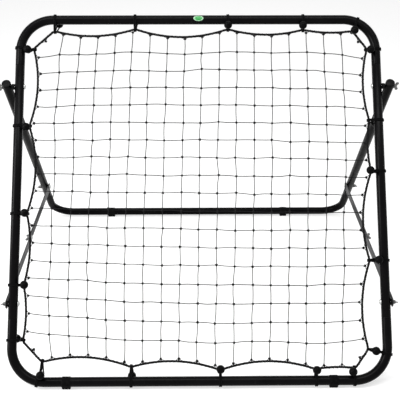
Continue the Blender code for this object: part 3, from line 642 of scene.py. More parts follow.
lean_turn = Matrix.Rotation(-LEAN, 4, "X")
stand_turn = Matrix.Rotation(atan2(ARM_DOWN.y, -ARM_DOWN.z), 4, "X")
bottom_place = at(0, FRONT_BAR) @ lean_turn
top_place = at(0, FRONT_BAR + UP * SPAN_UP) @ lean_turn @ Matrix.Rotation(pi, 4, "Y")
rear_place = at(0, REAR_BAR) @ stand_turn
bottom_line = bow_line(SIDE_X, LOWER_JOINT - SEAM, CORNER_R)
top_line = bow_line(SIDE_X, UPPER_JOINT - SEAM, CORNER_R)
rear_line = bow_line(ARM_X, STAND_JOINT - SEAM, STAND_CORNER_R)
for name, line, place, coat, body, node in (
        ("frame_tube_bottom", bottom_line, bottom_place, powder_coat, "frame", "frame_bottom_bow"),
        ("frame_tube_top", top_line, top_place, powder_coat, "frame", "frame_top_bow"),
        ("stand_tube_rear", rear_line, rear_place, stand_coat, "stand", "stand_rear_bow")):
    bow = new_piece(name, mesh_from(name, [hollow_part(line, TUBE_R)]), place)
    dress(bow, coat, "tube", body, node)
    print(name, len(bow.data.polygons), "faces")

# %% [markdown]
# The bolts pass right through the side tubes and arms. The holes could be left out, as heads and
# nuts cover them, but a part may be looked at from inside too. A Boolean with a plain cylinder
# cuts each pair of holes, and is applied at once so that the mesh is final.

# %% Cutting a turned shape out of a piece
def applied(piece):
    """The piece with its modifiers worked into its mesh."""
    bpy.context.view_layer.update()
    graph = bpy.context.evaluated_depsgraph_get()
    mesh = bpy.data.meshes.new_from_object(piece.evaluated_get(graph))
    piece.modifiers.clear()
    piece.data = mesh
    return piece


def cut_out(piece, profile, steps, place=Matrix()):
    """Cuts a turned shape out of the piece."""
    tool = new_piece("cutter", mesh_from("cutter", [turned_part(profile, steps)]), place)
    cut = piece.modifiers.new("cut", "BOOLEAN")
    cut.object = tool
    cut.solver = "EXACT"
    applied(piece)
    bpy.data.objects.remove(tool)


print("helpers for cutting are ready")

# %% Straight tubes with bolt holes
HOLE_R = 0.0033
DRILL_HALF = 0.03
across_x = Matrix.Rotation(pi / 2, 4, "Y")


def drilled_tube(name, line, radii, place, points):
    """Straight tube with a hole along X at each side-view point."""
    tube = new_piece(name, mesh_from(name, [hollow_part(line, radii)]), place)
    drill = [(0, -DRILL_HALF), (HOLE_R, -DRILL_HALF), (HOLE_R, DRILL_HALF), (0, DRILL_HALF)]
    for point in points:
        cut_out(tube, drill, 24, at(place.translation.x, point) @ across_x)
    return tube


for side, sign in SIDES:
    line, radii = side_line(LOWER_JOINT, SPAN_UP - UPPER_JOINT, True)
    tube = drilled_tube("frame_tube_side_" + side, line, radii,
                        at(sign * SIDE_X, FRONT_BAR) @ lean_turn, (PIVOT, STAY_LOW))
    dress(tube, powder_coat, "tube", "frame", "frame_side_" + side)
    line, radii = side_line(STAND_JOINT - ARM_LENGTH, ARM_TOP, False)
    arm = drilled_tube("stand_tube_arm_" + side, line, radii,
                       at(sign * ARM_X, PIVOT) @ stand_turn, (PIVOT, STAY_HIGH))
    dress(arm, stand_coat, "tube", "stand", "stand_arm_" + side)
    print(side, "side tube", len(tube.data.polygons), "faces, arm", len(arm.data.polygons))

# %% [markdown]
# ## Plastic caps and spacers
# The arms' top ends are closed by black plastic plugs: a shallow dome with a soft rim, and a ribbed
# shank that grips inside the tube. Each is turned like a wooden knob, from a profile. The spacers
# between tube and arm are short collars on the bolts.

# %% Moulded plastic and caps
moulded = cloudy_finish("moulded_plastic", (90, 3),
                        ((0.0022, 0.0022, 0.0024), (0.0045, 0.0044, 0.0045)),
                        (160, 3, 0.34, 0.52), [(1500, 2, 0.25, 0.0001)], specular=0.07)

GAP = 0.0003
CAP_DOME = 0.0035 * 0.92
CAP_PLUG = 0.008
RIB_ROOT, RIB_CREST = 0.0099, 0.0108
LOWEST_RIB, RIBS_APART = -0.0068, 0.0022
dome = [(TUBE_R * sin(a), CAP_DOME * cos(a) + GAP) for a in np.linspace(pi / 2, 0.0, 14)]
shank = [(0.0, -CAP_PLUG), (RIB_ROOT - 0.0004, -CAP_PLUG)]
for rib in range(3):
    z = LOWEST_RIB + rib * RIBS_APART
    shank += [(RIB_ROOT, z), (RIB_CREST, z + 0.0005),
              (RIB_CREST, z + 0.0009), (RIB_ROOT, z + 0.0014)]
cap_profile = shank + [(0.0104, 0.0), (TUBE_R - GAP, 0.0), (TUBE_R, 0.0002)] + dome[1:]
cap_mesh = mesh_from("cap", [turned_part(cap_profile)])
print("cap faces", len(cap_mesh.polygons))

# %% Spacers, and the layers from the side tube outwards
TUBE_FACE = 0.5
LOWER_BAR_IN, LOWER_BAR_OUT, UPPER_BAR_IN, UPPER_BAR_OUT = 0.5036, 0.5056, 0.5059, 0.5079
ARM_IN, ARM_OUT = 0.5082, 0.5332
SPACER_BORE_R, SPACER_R, SPACER_ROUND = 0.00325, 0.008, 0.0005


def spacer_mesh(length):
    outline = [(SPACER_BORE_R, length / 2), (SPACER_BORE_R, 0), (SPACER_R, 0), (SPACER_R, length),
               (SPACER_BORE_R, length), (SPACER_BORE_R, length / 2)]
    return mesh_from("spacer", [turned_part(rounded(outline, SPACER_ROUND))])


def outwards(sign):
    """Turn that points local +Z to the outside of a side."""
    return Matrix.Rotation(sign * pi / 2, 4, "Y")


for side, sign in SIDES:
    cap_place = at(sign * ARM_X, PIVOT - ARM_DOWN * (ARM_TOP + GAP)) @ stand_turn
    dress(new_piece("arm_end_cap_" + side, cap_mesh.copy(), cap_place),
          moulded, "black_plastic", "stand", "arm_cap_" + side)
    for kind, point, far in (("pivot", PIVOT, ARM_IN), ("stay", STAY_LOW, LOWER_BAR_IN)):
        collar = new_piece(kind + "_collar_" + side, spacer_mesh(far - TUBE_FACE - 2 * GAP),
                           at(sign * (TUBE_FACE + GAP), point) @ outwards(sign))
        dress(collar, moulded, "black_plastic", "frame", kind + "_spacer_" + side)
print("spacer faces", len(collar.data.polygons))

# %% [markdown]
# ## Rubber feet
# Four rubber sleeves keep the floor bars off the ground. Each is a ring round the tube that runs
# down into a flat sole with grip grooves. A lathe can't make it, as it isn't round, so its outline
# is drawn once and repeated along the tube: drawn in at both ends for soft rims, and a little at
# four narrow grooves.

# %% Dusty rubber
rubber, tree, shader = new_finish("sleeve_rubber", specular=0.05)
dust = ranged(tree, noise(tree, 120, 6), 0.52, 0.72, 0, 0.7)
tree.links.new(mixed(tree, dust, (0.0018, 0.0018, 0.0020), (0.0085, 0.0082, 0.0080)),
               shader.inputs["Base Color"])
tree.links.new(ranged(tree, dust, 0, 0.7, 0.72, 0.9), shader.inputs["Roughness"])
bump(tree, shader, [(noise(tree, 1100, 4), 0.35, 0.0002), (noise(tree, 300, 2), 0.15, 0.0003)])
print("sleeve rubber:", len(tree.nodes), "nodes")

# %% Sleeves with a flat sole
FRONT_FOOT_IN, REAR_FOOT_IN = 0.1425, 0.2082
FRONT_SLEEVE, REAR_SLEEVE = 0.022, 0.024
SLEEVE_R = 0.01400
SOLE_HALF = 0.009
BORE_R = 0.0129
FLANK_START, FLANK_END = radians(-28), radians(208)
END_STOPS = [(0.0, 0.0009, 0.0012), (0.0006, 0.0006, 0.0008), (0.0018, 0.0002, 0.0003),
             (0.0032, 0.0, 0.0)]
GROOVES = (0.25, 0.42, 0.58, 0.75)
GROOVE_STOPS = [(-0.0008, 0.0, 0.0), (-0.0005, 0.0004, 0.0008), (0.0005, 0.0004, 0.0008),
                (0.0008, 0.0, 0.0)]


def sleeve_outline(draw_in, sole_up, count=30):
    """Closed outline (y, z) round the tube: an arc over it, and straight flanks to the sole."""
    half = SOLE_HALF - draw_in
    low = -BAR_UP + sole_up
    over = arc((0, 0), SLEEVE_R - draw_in, FLANK_START, FLANK_END, count)
    right = [(half + 0.0004, low + 0.0012), (half, low + 0.0003), (half - 0.0005, low)]
    return [(-y, z) for y, z in right] + [(y, z) for y, z in reversed(right)] + over


def sleeve_mesh(length):
    """Sleeve along X: outlines at stops (x, drawn in, sole up), and the bore inside them."""
    middle = [(share * length + x, draw, up) for share in GROOVES for x, draw, up in GROOVE_STOPS]
    stops = END_STOPS + middle + [(length - x, draw, up) for x, draw, up in reversed(END_STOPS)]
    rings = [[(x - length / 2, y, z) for y, z in sleeve_outline(draw, up)] for x, draw, up in stops]
    first = np.array(rings[0])
    angles = np.arctan2(first[:, 2], first[:, 1])
    bore = np.stack([0 * angles, BORE_R * np.cos(angles), BORE_R * np.sin(angles)], 1)
    rings += [bore + (length / 2, 0, 0), bore - (length / 2, 0, 0)]
    rings = np.array(rings)[:, ::-1]
    along = running_length(rings[:, 0], APART)
    return mesh_from("sleeve", [skin_part(rings, along, loop_along=True)])


for side, sign in SIDES:
    for end, x, bar, length, body in (
            ("front", SIDE_X - FRONT_FOOT_IN, FRONT_BAR, FRONT_SLEEVE, "frame"),
            ("rear", ARM_X - REAR_FOOT_IN, REAR_BAR, REAR_SLEEVE, "stand")):
        foot = new_piece(f"{end}_rubber_foot_{side}", sleeve_mesh(length), at(sign * x, bar))
        dress(foot, rubber, "foot_rubber", body, f"foot_{end}_{side}")
foot_low = min((foot.matrix_world @ v.co).z for v in foot.data.vertices)
print("the soles stand at", round(foot_low, 5))

# %% [markdown]
# ## The label
# A small green oval is stuck on the front of the top tube, with a paler rim and a thin inner line.
# The film follows the tube, so it is drawn as rings of an ellipse, measured round the tube instead
# of straight across it, and its thickness falls away at the rim.

# %% Green film with a pale rim
film = cloudy_finish("label_green", (220, 4), ((0.024, 0.240, 0.048), (0.036, 0.300, 0.070)),
                     (300, 3, 0.34, 0.5), [(700, 2, 0.1, 0.0001)], specular=0.4)
film_rim = cloudy_finish("label_pale_rim", (260, 4), ((0.42, 0.66, 0.45), (0.52, 0.74, 0.53)),
                         (300, 3, 0.34, 0.5), [], specular=0.4)

LABEL_HALF = (0.0135, 0.0075)
LABEL_THICK = 0.0006
LABEL_OFF = 0.00005
RIM_IN, LINE_OUT, LINE_IN = 0.86, 0.78, 0.72
label_stops = [(1.0, 0.0), (1.0, 0.5), (0.985, 0.9), (0.965, 1.0), (RIM_IN, 1.0), (LINE_OUT, 1.0),
               (LINE_IN, 1.0), (0.5, 1.0), (0.25, 1.0), (0.0, 1.0)]
around = np.linspace(0, 2 * pi, 96, endpoint=False)
label_rings = []
for share, height in label_stops:
    lift_off = TUBE_R + LABEL_OFF + LABEL_THICK * height
    bend = LABEL_HALF[1] * share * np.sin(around) / TUBE_R
    label_rings.append(np.stack([LABEL_HALF[0] * share * np.cos(around), lift_off * np.sin(bend),
                                 lift_off * np.cos(bend)], 1))
label_part = skin_part(np.array(label_rings), np.arange(len(label_stops)) * 0.001)
label_mesh = mesh_from("label", [label_part], 60)
face_front = Matrix(((1, 0, 0, 0), (0, UP.y, FRONT.y, 0), (0, UP.z, FRONT.z, 0), (0, 0, 0, 1)))
label = new_piece("front_label", label_mesh, at(0, FRONT_BAR + UP * SPAN_UP) @ face_front)
dress(label, film, "label", "frame", "tube_label")
label_mesh.materials.append(film_rim)
for face in label_mesh.polygons:
    round_tube = asin(face.center.y / TUBE_R) * TUBE_R
    share = hypot(face.center.x / LABEL_HALF[0], round_tube / LABEL_HALF[1])
    face.material_index = 1 if share > RIM_IN or LINE_IN < share < LINE_OUT else 0
print("label faces", len(label_mesh.polygons))

# %% [markdown]
# ## Stay bars
# Each side has two flat steel bars that meet at a bolt and fold up with the stand. A flat bar with
# round ends and two holes is a 2D curve: Blender extrudes it and rounds its edges in one go. The
# coat is thinner than on the tubes and is rubbed through along the edges and round the ends. How
# near a point is to the edge can be worked out in the shader from the bar's own coordinates.

# %% Finish of the flat bars, rubbed through at their edges
BAR_WIDTH, BAR_THICK = 0.025, 0.002
STAY_LINK = (STAY_MID - STAY_LOW).length
RUBBED_FROM, RUBBED_TO, RAGGED_BY = 0.01275, 0.01330, 0.0016

bar_coat, tree, shader = new_finish("stay_bar_coat", specular=0.04)
place = tree.nodes.new("ShaderNodeTexCoord")
x, y = split_axes(tree, place.outputs["Object"])
beyond = maths(tree, "SUBTRACT", x,
               maths(tree, "MINIMUM", maths(tree, "MAXIMUM", x, 0.0), STAY_LINK))
from_spine = maths(tree, "SQRT", maths(tree, "ADD", maths(tree, "MULTIPLY", beyond, beyond),
                                       maths(tree, "MULTIPLY", y, y)))
ragged = maths(tree, "ADD", from_spine, maths(tree, "MULTIPLY", noise(tree, 260, 5), RAGGED_BY))
rubbed = ranged(tree, ragged, RUBBED_FROM, RUBBED_TO, 0, 1)
streaks = ranged(tree, noise(tree, 120, 5, (0.06, 1, 1)), 0.35, 0.65, 0, 1)
grey = mixed(tree, streaks, (0.016, 0.016, 0.018), (0.030, 0.030, 0.031))
tree.links.new(mixed(tree, rubbed, grey, (0.045, 0.045, 0.045)), shader.inputs["Base Color"])
tree.links.new(ranged(tree, streaks, 0, 1, 0.30, 0.42), shader.inputs["Roughness"])
tree.links.new(ranged(tree, rubbed, 0, 1, 0.0, 0.3), shader.inputs["Metallic"])
bump(tree, shader, [(streaks, 0.10, 0.0001), (noise(tree, 1200, 2), 0.12, 0.0001)])
print("stay bar coat:", len(tree.nodes), "nodes")

# %% Flat bars
BAR_EDGE = 0.0003


def bar_mesh():
    """Bar along local X from one bolt to the next, its middle plane at z = 0."""
    edge, far = BAR_WIDTH / 2, (STAY_LINK, 0)
    outline = arc((0, 0), edge, pi / 2, 1.5 * pi, 24) + arc(far, edge, -pi / 2, pi / 2, 24)
    holes = [arc(centre, HOLE_R, 0, 2 * pi, 24)[:-1] for centre in ((0, 0), far)]
    curve = bpy.data.curves.new("bar", "CURVE")
    curve.dimensions = "2D"
    curve.fill_mode = "BOTH"
    curve.bevel_depth = BAR_EDGE
    curve.bevel_resolution = 2
    curve.offset = -BAR_EDGE
    curve.extrude = BAR_THICK / 2 - BAR_EDGE
    for loop in [outline] + holes:
        spline = curve.splines.new("POLY")
        spline.points.add(len(loop) - 1)
        for point, (x, y) in zip(spline.points, loop):
            point.co = (x, y, 0, 1)
        spline.use_cyclic_u = True
    plate = new_piece("bar_curve", curve)
    bpy.context.view_layer.update()
    graph = bpy.context.evaluated_depsgraph_get()
    mesh = bpy.data.meshes.new_from_object(plate.evaluated_get(graph))
    bpy.data.objects.remove(plate)
    mesh.materials.clear()
    return smooth_shaded(welded(mesh, 1e-6), 50)


bar = bar_mesh()
corners = np.array([v.co for v in bar.vertices])
print("bar size", np.ptp(corners, axis=0).round(5))

# %% The bars in their places, the lower and the upper one of each side
back = STAY_HIGH - STAY_LOW
bar_tilt = Matrix.Rotation(atan2(back.z, back.y), 4, "X")
upright = Matrix.Rotation(pi / 2, 4, "X")
for side, sign in SIDES:
    for level, bar_in, bar_out, point, turn in (
            ("lower", LOWER_BAR_IN, LOWER_BAR_OUT, STAY_LOW, pi / 2),
            ("upper", UPPER_BAR_IN, UPPER_BAR_OUT, STAY_HIGH, -pi / 2)):
        place = (at(sign * (bar_in + bar_out) / 2, point) @ bar_tilt
                 @ Matrix.Rotation(turn, 4, "Z") @ upright)
        dress(new_piece(f"{level}_stay_bar_{side}", bar.copy(), place), bar_coat, "stay_bar",
              f"stay_{level}_{side}", f"stay_{level}_bar_{side}")
print("the stay bars are", round(STAY_LINK, 4), "m from bolt to bolt")

# %% [markdown]
# ## Bolts
# Dome-headed zinc bolts, 6 mm thick, hold everything that turns. The plain part is turned from a
# profile. The thread is a ring grid whose radius follows a spiral: the height of each point plus
# its share of a turn decides whether it lies on a crest or in a root. Only the last stretch is
# threaded, because the rest never shows.

# %% Bright zinc
zinc = cloudy_finish("bright_zinc", (240, 5), ((0.44, 0.45, 0.45), (0.60, 0.60, 0.58)),
                     (520, 4, 0.22, 0.40), [(1600, 3, 0.18, 0.0001)], metallic=1.0)
print("bright zinc:", len(zinc.node_tree.nodes), "nodes")

# %% Threads and domed bolts
BOLT_R = 0.003
PITCH = 0.001
THREAD_DEPTH = 0.00055
TIP_CONE = 0.0007
HEAD_R, HEAD_HEIGHT, HEAD_RIM = 0.007, 0.0045, 0.22
NUT_HEIGHT, BEYOND_NUT = 0.007, 0.002
THREADED = NUT_HEIGHT + BEYOND_NUT + 0.002


def thread_part(low, high, steps=24):
    """Threaded rod about Z, with a short cone at its top end."""
    heights = np.arange(low, high, PITCH / 5)
    turn = np.arange(steps) / steps
    wave = (heights[:, None] / PITCH - turn[None, :]) % 1.0
    crest = 1 - np.abs(2 * wave - 1)
    radius = BOLT_R - THREAD_DEPTH * (1 - np.clip(crest * 1.6, 0, 1))
    cone = np.clip(heights[:, None] - (high - TIP_CONE), 0, None)
    radius = np.minimum(radius, BOLT_R - cone)
    radius[0] = BOLT_R
    rings = np.stack([radius * np.cos(2 * pi * turn), radius * np.sin(2 * pi * turn),
                      np.repeat(heights[:, None], steps, 1)], 2)
    tip = np.zeros((1, steps, 3)) + (0, 0, high)
    return skin_part(np.concatenate([rings, tip]), np.append(heights, high))


def bolt_mesh(length, threaded):
    """Domed bolt along Z: the head is below z = 0 and the shank runs up to the length."""
    head = [(HEAD_R * sin(a), -HEAD_HEIGHT * (HEAD_RIM + (1 - HEAD_RIM) * cos(a)))
            for a in np.linspace(0, pi / 2, 12)]
    head += [(HEAD_R, -0.0003), (HEAD_R - 0.0003, 0.0), (BOLT_R, 0.0)]
    if not threaded:
        return mesh_from("bolt", [turned_part(head + [(BOLT_R, length), (0, length)], 24)])
    start = length - threaded
    plain = turned_part(head + [(BOLT_R, start)], 24)
    return mesh_from("bolt", [plain, thread_part(start, length)])


print("a bolt has", round(THREADED / PITCH), "turns of thread")

# %% Bolts in their holes
head_x = SIDE_X - TUBE_R - GAP
BOLTS = (("pivot", PIVOT, head_x, ARM_OUT, "frame"),
         ("stay_lower", STAY_LOW, head_x, LOWER_BAR_OUT, "frame"),
         ("stay_upper", STAY_HIGH, UPPER_BAR_IN - GAP, ARM_OUT, "stand"))
for side, sign in SIDES:
    for kind, point, start_x, seat_x, body in BOLTS:
        length = seat_x + GAP + NUT_HEIGHT + BEYOND_NUT - start_x
        bolt = new_piece(f"{kind}_dome_bolt_{side}", bolt_mesh(length, THREADED),
                         at(sign * start_x, point) @ outwards(sign))
        dress(bolt, zinc, "zinc_bolt", body, f"{kind}_bolt_{side}")
    bolt = new_piece(f"stay_mid_dome_bolt_{side}", bolt_mesh(BAR_THICK + GAP, 0),
                     at(sign * (LOWER_BAR_IN - GAP), STAY_MID) @ outwards(sign))
    dress(bolt, zinc, "zinc_bolt", "stay_lower_" + side, f"stay_mid_bolt_{side}")
print("bolt faces", len(bolt.data.polygons), "for the short one")

# %% [markdown]
# ## Wing nuts
# A wing nut is cast, so its hub and wings flow into each other. Joining a turned hub and two plates
# with a Boolean leaves hard inside corners. A voxel Remesh of the overlapping shapes followed by a
# little smoothing rounds every corner, inner and outer, the way sand casting does. The bore is cut
# afterwards, so that it stays crisp.

# %% Cast zinc
cast_zinc = cloudy_finish("cast_zinc", (300, 6), ((0.09, 0.09, 0.095), (0.17, 0.17, 0.165)),
                          (420, 4, 0.36, 0.58), [(1400, 3, 0.4, 0.0002), (420, 2, 0.2, 0.0003)],
                          metallic=1.0)
print("cast zinc:", len(cast_zinc.node_tree.nodes), "nodes")

# %% Wings of a nut
WING_TIP_X, WING_TIP_Z, WING_TIP_R, WING_THICK = 0.0088, 0.0082, 0.0042, 0.0025
WING_FOOT, WING_BROW = 0.0012, 0.0066


def wing_plate(sign):
    """One wing: a round lobe that narrows to its root."""
    lobe = arc((WING_TIP_X, WING_TIP_Z), WING_TIP_R, radians(-62), radians(160), 22)
    outline = [(0.0, WING_FOOT)] + lobe + [(0.0, WING_BROW)]
    half = WING_THICK / 2
    rings = np.array([[(sign * x, y, z) for x, z in outline] for y in (-half, half)])
    points, faces, _ = skin_part(rings, np.array([0.0, WING_THICK]))
    mesh = bpy.data.meshes.new("wing")
    mesh.from_pydata(points.tolist(), [], faces.tolist())
    bm = bmesh.new()
    bm.from_mesh(mesh)
    bmesh.ops.holes_fill(bm, edges=[e for e in bm.edges if e.is_boundary], sides=0)
    bmesh.ops.recalc_face_normals(bm, faces=bm.faces)
    bm.to_mesh(mesh)
    bm.free()
    return mesh


print("the wings span", round(2 * (WING_TIP_X + WING_TIP_R), 4), "m")

# %% Wing nuts cast in one piece
HUB = [(0, 0), (0.0060, 0), (0.0060, 0.0012), (0.0053, 0.0020), (0.0049, NUT_HEIGHT),
       (0, NUT_HEIGHT)]
BORE = [(0, -0.004), (0.0043, -0.004), (0.0043, -0.0001), (0.0031, 0.0008), (0.0031, 0.0063),
        (0.0040, 0.0072), (0.0040, 0.012), (0, 0.012)]
VOXEL = 0.00032


def cast_nut_mesh(solid):
    """Wing nut about Z with its seat at z = 0; a solid one has no bore."""
    bm = bmesh.new()
    for shape in (mesh_from("hub", [turned_part(HUB, 40)]), wing_plate(1), wing_plate(-1)):
        bm.from_mesh(shape)
    raw = bpy.data.meshes.new("nut_raw")
    bm.to_mesh(raw)
    bm.free()
    nut = new_piece("nut_raw", raw)
    remesh = nut.modifiers.new("cast", "REMESH")
    remesh.mode = "VOXEL"
    remesh.voxel_size = VOXEL
    soften = nut.modifiers.new("soften", "SMOOTH")
    soften.factor = 0.5
    soften.iterations = 5
    applied(nut)
    if not solid:
        cut_out(nut, BORE, 32)
    mesh = nut.data
    bpy.data.objects.remove(nut)
    low = min(v.co.z for v in mesh.vertices)
    for v in mesh.vertices:
        v.co.z = max(v.co.z - low, 0.0)
    return smooth_shaded(mesh, 50)


bored_nut = cast_nut_mesh(False)
filled_nut = cast_nut_mesh(True)
print("wing nut faces", len(bored_nut.polygons), "and", len(filled_nut.polygons))

# %% [markdown]
# Each nut turns on its own bolt, so it rides on its own body. The nut on the middle bolt carries
# the bolt's threaded end with it, as a second material on the same piece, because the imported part
# joins those two as well.

# %% Put the nuts on their bolts
NUTS = (("pivot", ARM_OUT, PIVOT, 20), ("stay_lower", LOWER_BAR_OUT, STAY_LOW, 60),
        ("stay_upper", ARM_OUT, STAY_HIGH, 75), ("stay_mid", UPPER_BAR_OUT, STAY_MID, 100))


def add_stub(mesh):
    """Adds the middle bolt's threaded end to a nut, with the second material."""
    bm = bmesh.new()
    bm.from_mesh(mesh)
    count = len(bm.faces)
    bm.from_mesh(mesh_from("stub", [thread_part(-BAR_THICK - GAP, NUT_HEIGHT + BEYOND_NUT)]))
    bm.faces.ensure_lookup_table()
    for face in bm.faces[count:]:
        face.material_index = 1
    bm.to_mesh(mesh)
    bm.free()


for side, sign in SIDES:
    for kind, seat_x, point, degrees in NUTS:
        turn = Matrix.Rotation(sign * radians(degrees), 4, "Z")
        place = at(sign * (seat_x + GAP), point) @ outwards(sign) @ turn
        mesh = (filled_nut if kind == "stay_mid" else bored_nut).copy()
        mesh.materials.clear()
        mesh.materials.append(cast_zinc)
        if kind == "stay_mid":
            mesh.materials.append(zinc)
            add_stub(mesh)
        nut = new_piece(f"{kind}_cast_wing_nut_{side}", mesh, place)
        dress(nut, None, "zinc_nut", f"{kind}_nut_{side}", f"{kind}_wing_nut_{side}")
print("nuts:", 2 * len(NUTS))

# %% [markdown]
# ## Where the bungees hold the rope
# The net hangs from an edge rope, and twenty bungees pull that rope towards the tubes. Between two
# bungees the rope is drawn in by the net, so it lies in shallow scallops. The places below are
# given along each side from its middle, as a share of the half side, with the distance that the
# bungee leaves between tube and rope there. `side_spot` turns such a place into a point on the
# tube, also round the bent corners.

# %% Bungee places
SHARES = {
    "top": (-0.809, -0.358, 0.1665, 0.592, 0.896),
    "bottom": (-0.860, -0.3655, 0.107, 0.615, 0.8185),
    "left": (-0.781, -0.490, -0.103, 0.386, 0.8325),
    "right": (-0.862, -0.366, 0.125, 0.413, 0.823),
}
ROPE_REACH = {
    "top": (0.0335, 0.028, 0.0283, 0.030, 0.030),
    "bottom": (0.052, 0.038, 0.029, 0.0298, 0.0316),
    "left": (0.0289, 0.027, 0.0303, 0.0308, 0.038),
    "right": (0.0506, 0.0389, 0.026, 0.026, 0.026),
}
INWARD = {"top": Vector((0, -1)), "bottom": Vector((0, 1)),
          "left": Vector((1, 0)), "right": Vector((-1, 0))}
print("bungees:", sum(len(shares) for shares in SHARES.values()))


# %% From a share of a side to a point in the world
def side_spot(side, share):
    """Point of the frame's centre line, direction along it and inward normal, in (x, up) pairs."""
    upright = side in ("left", "right")
    half_along = SPAN_UP / 2 if upright else SIDE_X
    half_across = SIDE_X if upright else SPAN_UP / 2
    along = Vector((0, 1)) if upright else Vector((1, 0))
    inward = INWARD[side]
    t = share * half_along
    turn = asin(max(0.0, abs(t) - (half_along - CORNER_R)) / CORNER_R)
    lean = copysign(turn, t)
    depth = CORNER_R * (1 - cos(turn)) - half_across
    point = Vector((0, SPAN_UP / 2)) + along * t + inward * depth
    return point, along * cos(lean) + inward * sin(lean), inward * cos(lean) - along * sin(lean)


def on_frame(x, up, front=0.0):
    """World point of a place in the leaning frame's plane."""
    return np.array(Vector((x, FRONT_BAR.y, FRONT_BAR.z)) + UP * up + FRONT * front)


def hooks_of(side):
    """Where the bungees of a side hold the rope, and which way the side runs there."""
    spots = [side_spot(side, share) for share in SHARES[side]]
    hooks = [point + normal * reach
             for (point, _, normal), reach in zip(spots, ROPE_REACH[side])]
    return hooks, [direction for _, direction, _ in spots]


print("the last top bungee holds the rope at", on_frame(*hooks_of("top")[0][-1]).round(3))


# %% [markdown]
# ## The edge rope
# It is a 5 mm braided rope in one loop. Its line is level in each bungee and a parabola between two
# of them, and is then softened a little, because rope has no corners. The braid is real relief: the
# skin rises in staggered diamonds, `|cos x + cos y|`, one for each visible bit of strand. The same
# sum in the shader paints shade into the valleys, and between the yarns it draws in each diamond.

# %% Rope line
ROPE_R = 0.0025
CORD_R = 0.0019
ROPE_SAG = 0.35
LEVEL_HALF = 2 * CORD_R + 0.0006


def side_rope(side):
    """The rope's line along one side, in (x, up) pairs."""
    hooks, directions = hooks_of(side)
    seats = [direction * LEVEL_HALF for direction in directions]
    points = [hooks[0] - seats[0], hooks[0] + seats[0]]
    for i in range(1, len(hooks)):
        first, second = hooks[i - 1] + seats[i - 1], hooks[i] - seats[i]
        sag = ROPE_SAG * (second - first).length ** 2
        for step in range(1, 25):
            u = step / 24
            points.append(first.lerp(second, u) + INWARD[side] * sag * 4 * u * (1 - u))
        points.append(hooks[i] + seats[i])
    return points


loop = side_rope("top") + side_rope("right")[::-1] + side_rope("bottom")[::-1] + side_rope("left")
rope_flat = softened([tuple(p) for p in loop], spacing=0.00085, width=0.0035, closed=True)
rope_line = np.array([on_frame(x, up) for x, up in rope_flat])
rope_length = np.linalg.norm(np.diff(rope_line, axis=0, append=rope_line[:1]), axis=1).sum()
print("edge rope:", round(rope_length, 3), "m in", len(rope_line), "rings")


# %% Relief of a braid
def braid_relief(count, length, height):
    """Height of a braid with so many diamonds round it, each so long."""
    def relief(turn, along):
        pattern = np.abs(np.cos(2 * pi * count * turn) + np.cos(2 * pi * along / length)) / 2
        return height * (np.sqrt(pattern) - 0.75)
    return relief


print("between two strands a 1 mm braid lies at", round(braid_relief(1, 1, 0.001)(0, 0.5), 5))


# %% Braided cord finish
def lay_axes(tree):
    """How far round and how far along, from the UV map `lay`."""
    uv = tree.nodes.new("ShaderNodeUVMap")
    uv.uv_map = "lay"
    return split_axes(tree, uv.outputs["UV"])


def braided_finish(name, count, length, valley_shade, crest, specular):
    """Cloth-like finish that follows the same diamonds as the relief."""
    finish, tree, shader = new_finish(name, roughness=0.85, specular=specular)
    turn, along = lay_axes(tree)
    x = maths(tree, "MULTIPLY", turn, 2 * pi * count)
    y = maths(tree, "MULTIPLY", along, 2 * pi / length)
    total = maths(tree, "ADD", maths(tree, "COSINE", x), maths(tree, "COSINE", y))
    half_total = maths(tree, "MULTIPLY", maths(tree, "ABSOLUTE", total), 0.5)
    diamond = maths(tree, "POWER", half_total, 0.5)
    lay = maths(tree, "MULTIPLY", y, maths(tree, "SIGN", total))
    yarns = maths(tree, "COSINE", maths(tree, "MULTIPLY", maths(tree, "ADD", x, lay), 3.0))
    yarn_height = scaled(tree, yarns, 0.5, 0.5)
    fuzz = noise(tree, 1400, 3)
    # Painted shade: darker colour in the braid's valleys and between its yarns; the fuzz is random
    # tone.
    shade = maths(tree, "MULTIPLY", diamond, ranged(tree, fuzz, 0.3, 0.7, 0.6, 1.0))
    shade = maths(tree, "MULTIPLY", shade, ranged(tree, yarn_height, 0, 1, 0.7, 1.0))
    tree.links.new(mixed(tree, shade, valley_shade, crest), shader.inputs["Base Color"])
    tree.links.new(ranged(tree, fuzz, 0.3, 0.7, 0.78, 0.95), shader.inputs["Roughness"])
    bump(tree, shader, [(yarn_height, 0.35, 0.00015), (diamond, 0.3, 0.0002), (fuzz, 0.2, 0.0001)])
    return finish


print("helpers for braided finishes are ready")

# %% The rope; its skin starts wider, as most of the relief lies below it
ROPE_DIAMONDS, ROPE_DIAMOND, ROPE_RELIEF = 5, 0.0064, 0.0006
ROPE_SKIN_R = ROPE_R * 1.2
rope_diamond = rope_length / round(rope_length / ROPE_DIAMOND)
# The first colour is painted shade, for the braid's valleys and the gaps between its yarns.
rope_finish = braided_finish("braided_rope", ROPE_DIAMONDS, rope_diamond,
                             (0.0020, 0.0020, 0.0022), (0.0110, 0.0108, 0.0110), 0.12)
rope_part = tube_part(rope_line, ROPE_SKIN_R, 20, True,
                      braid_relief(ROPE_DIAMONDS, rope_diamond, ROPE_RELIEF))
rope_mesh = mesh_from("edge_rope", [rope_part], 180)
dress(new_piece("braided_edge_rope", rope_mesh), rope_finish, "rope", "frame", "edge_rope")
print("rope faces", len(rope_mesh.polygons), "diamond", round(rope_diamond, 5))

# %% [markdown]
# ## The net
# The real net has 18 by 18 square meshes of thin twine, knotted at every crossing, and its edge
# knots sit just inside the rope. A perfect grid would look like graph paper. Here the edge knots
# are set off from the rope's line first, the inner knots then settle to the average of their four
# neighbours, the way an even pull on a net does, and last each gets a small random push, because
# knots are tied by hand or machine and never land quite square. The whole net also sinks back a
# few millimetres under its own weight.

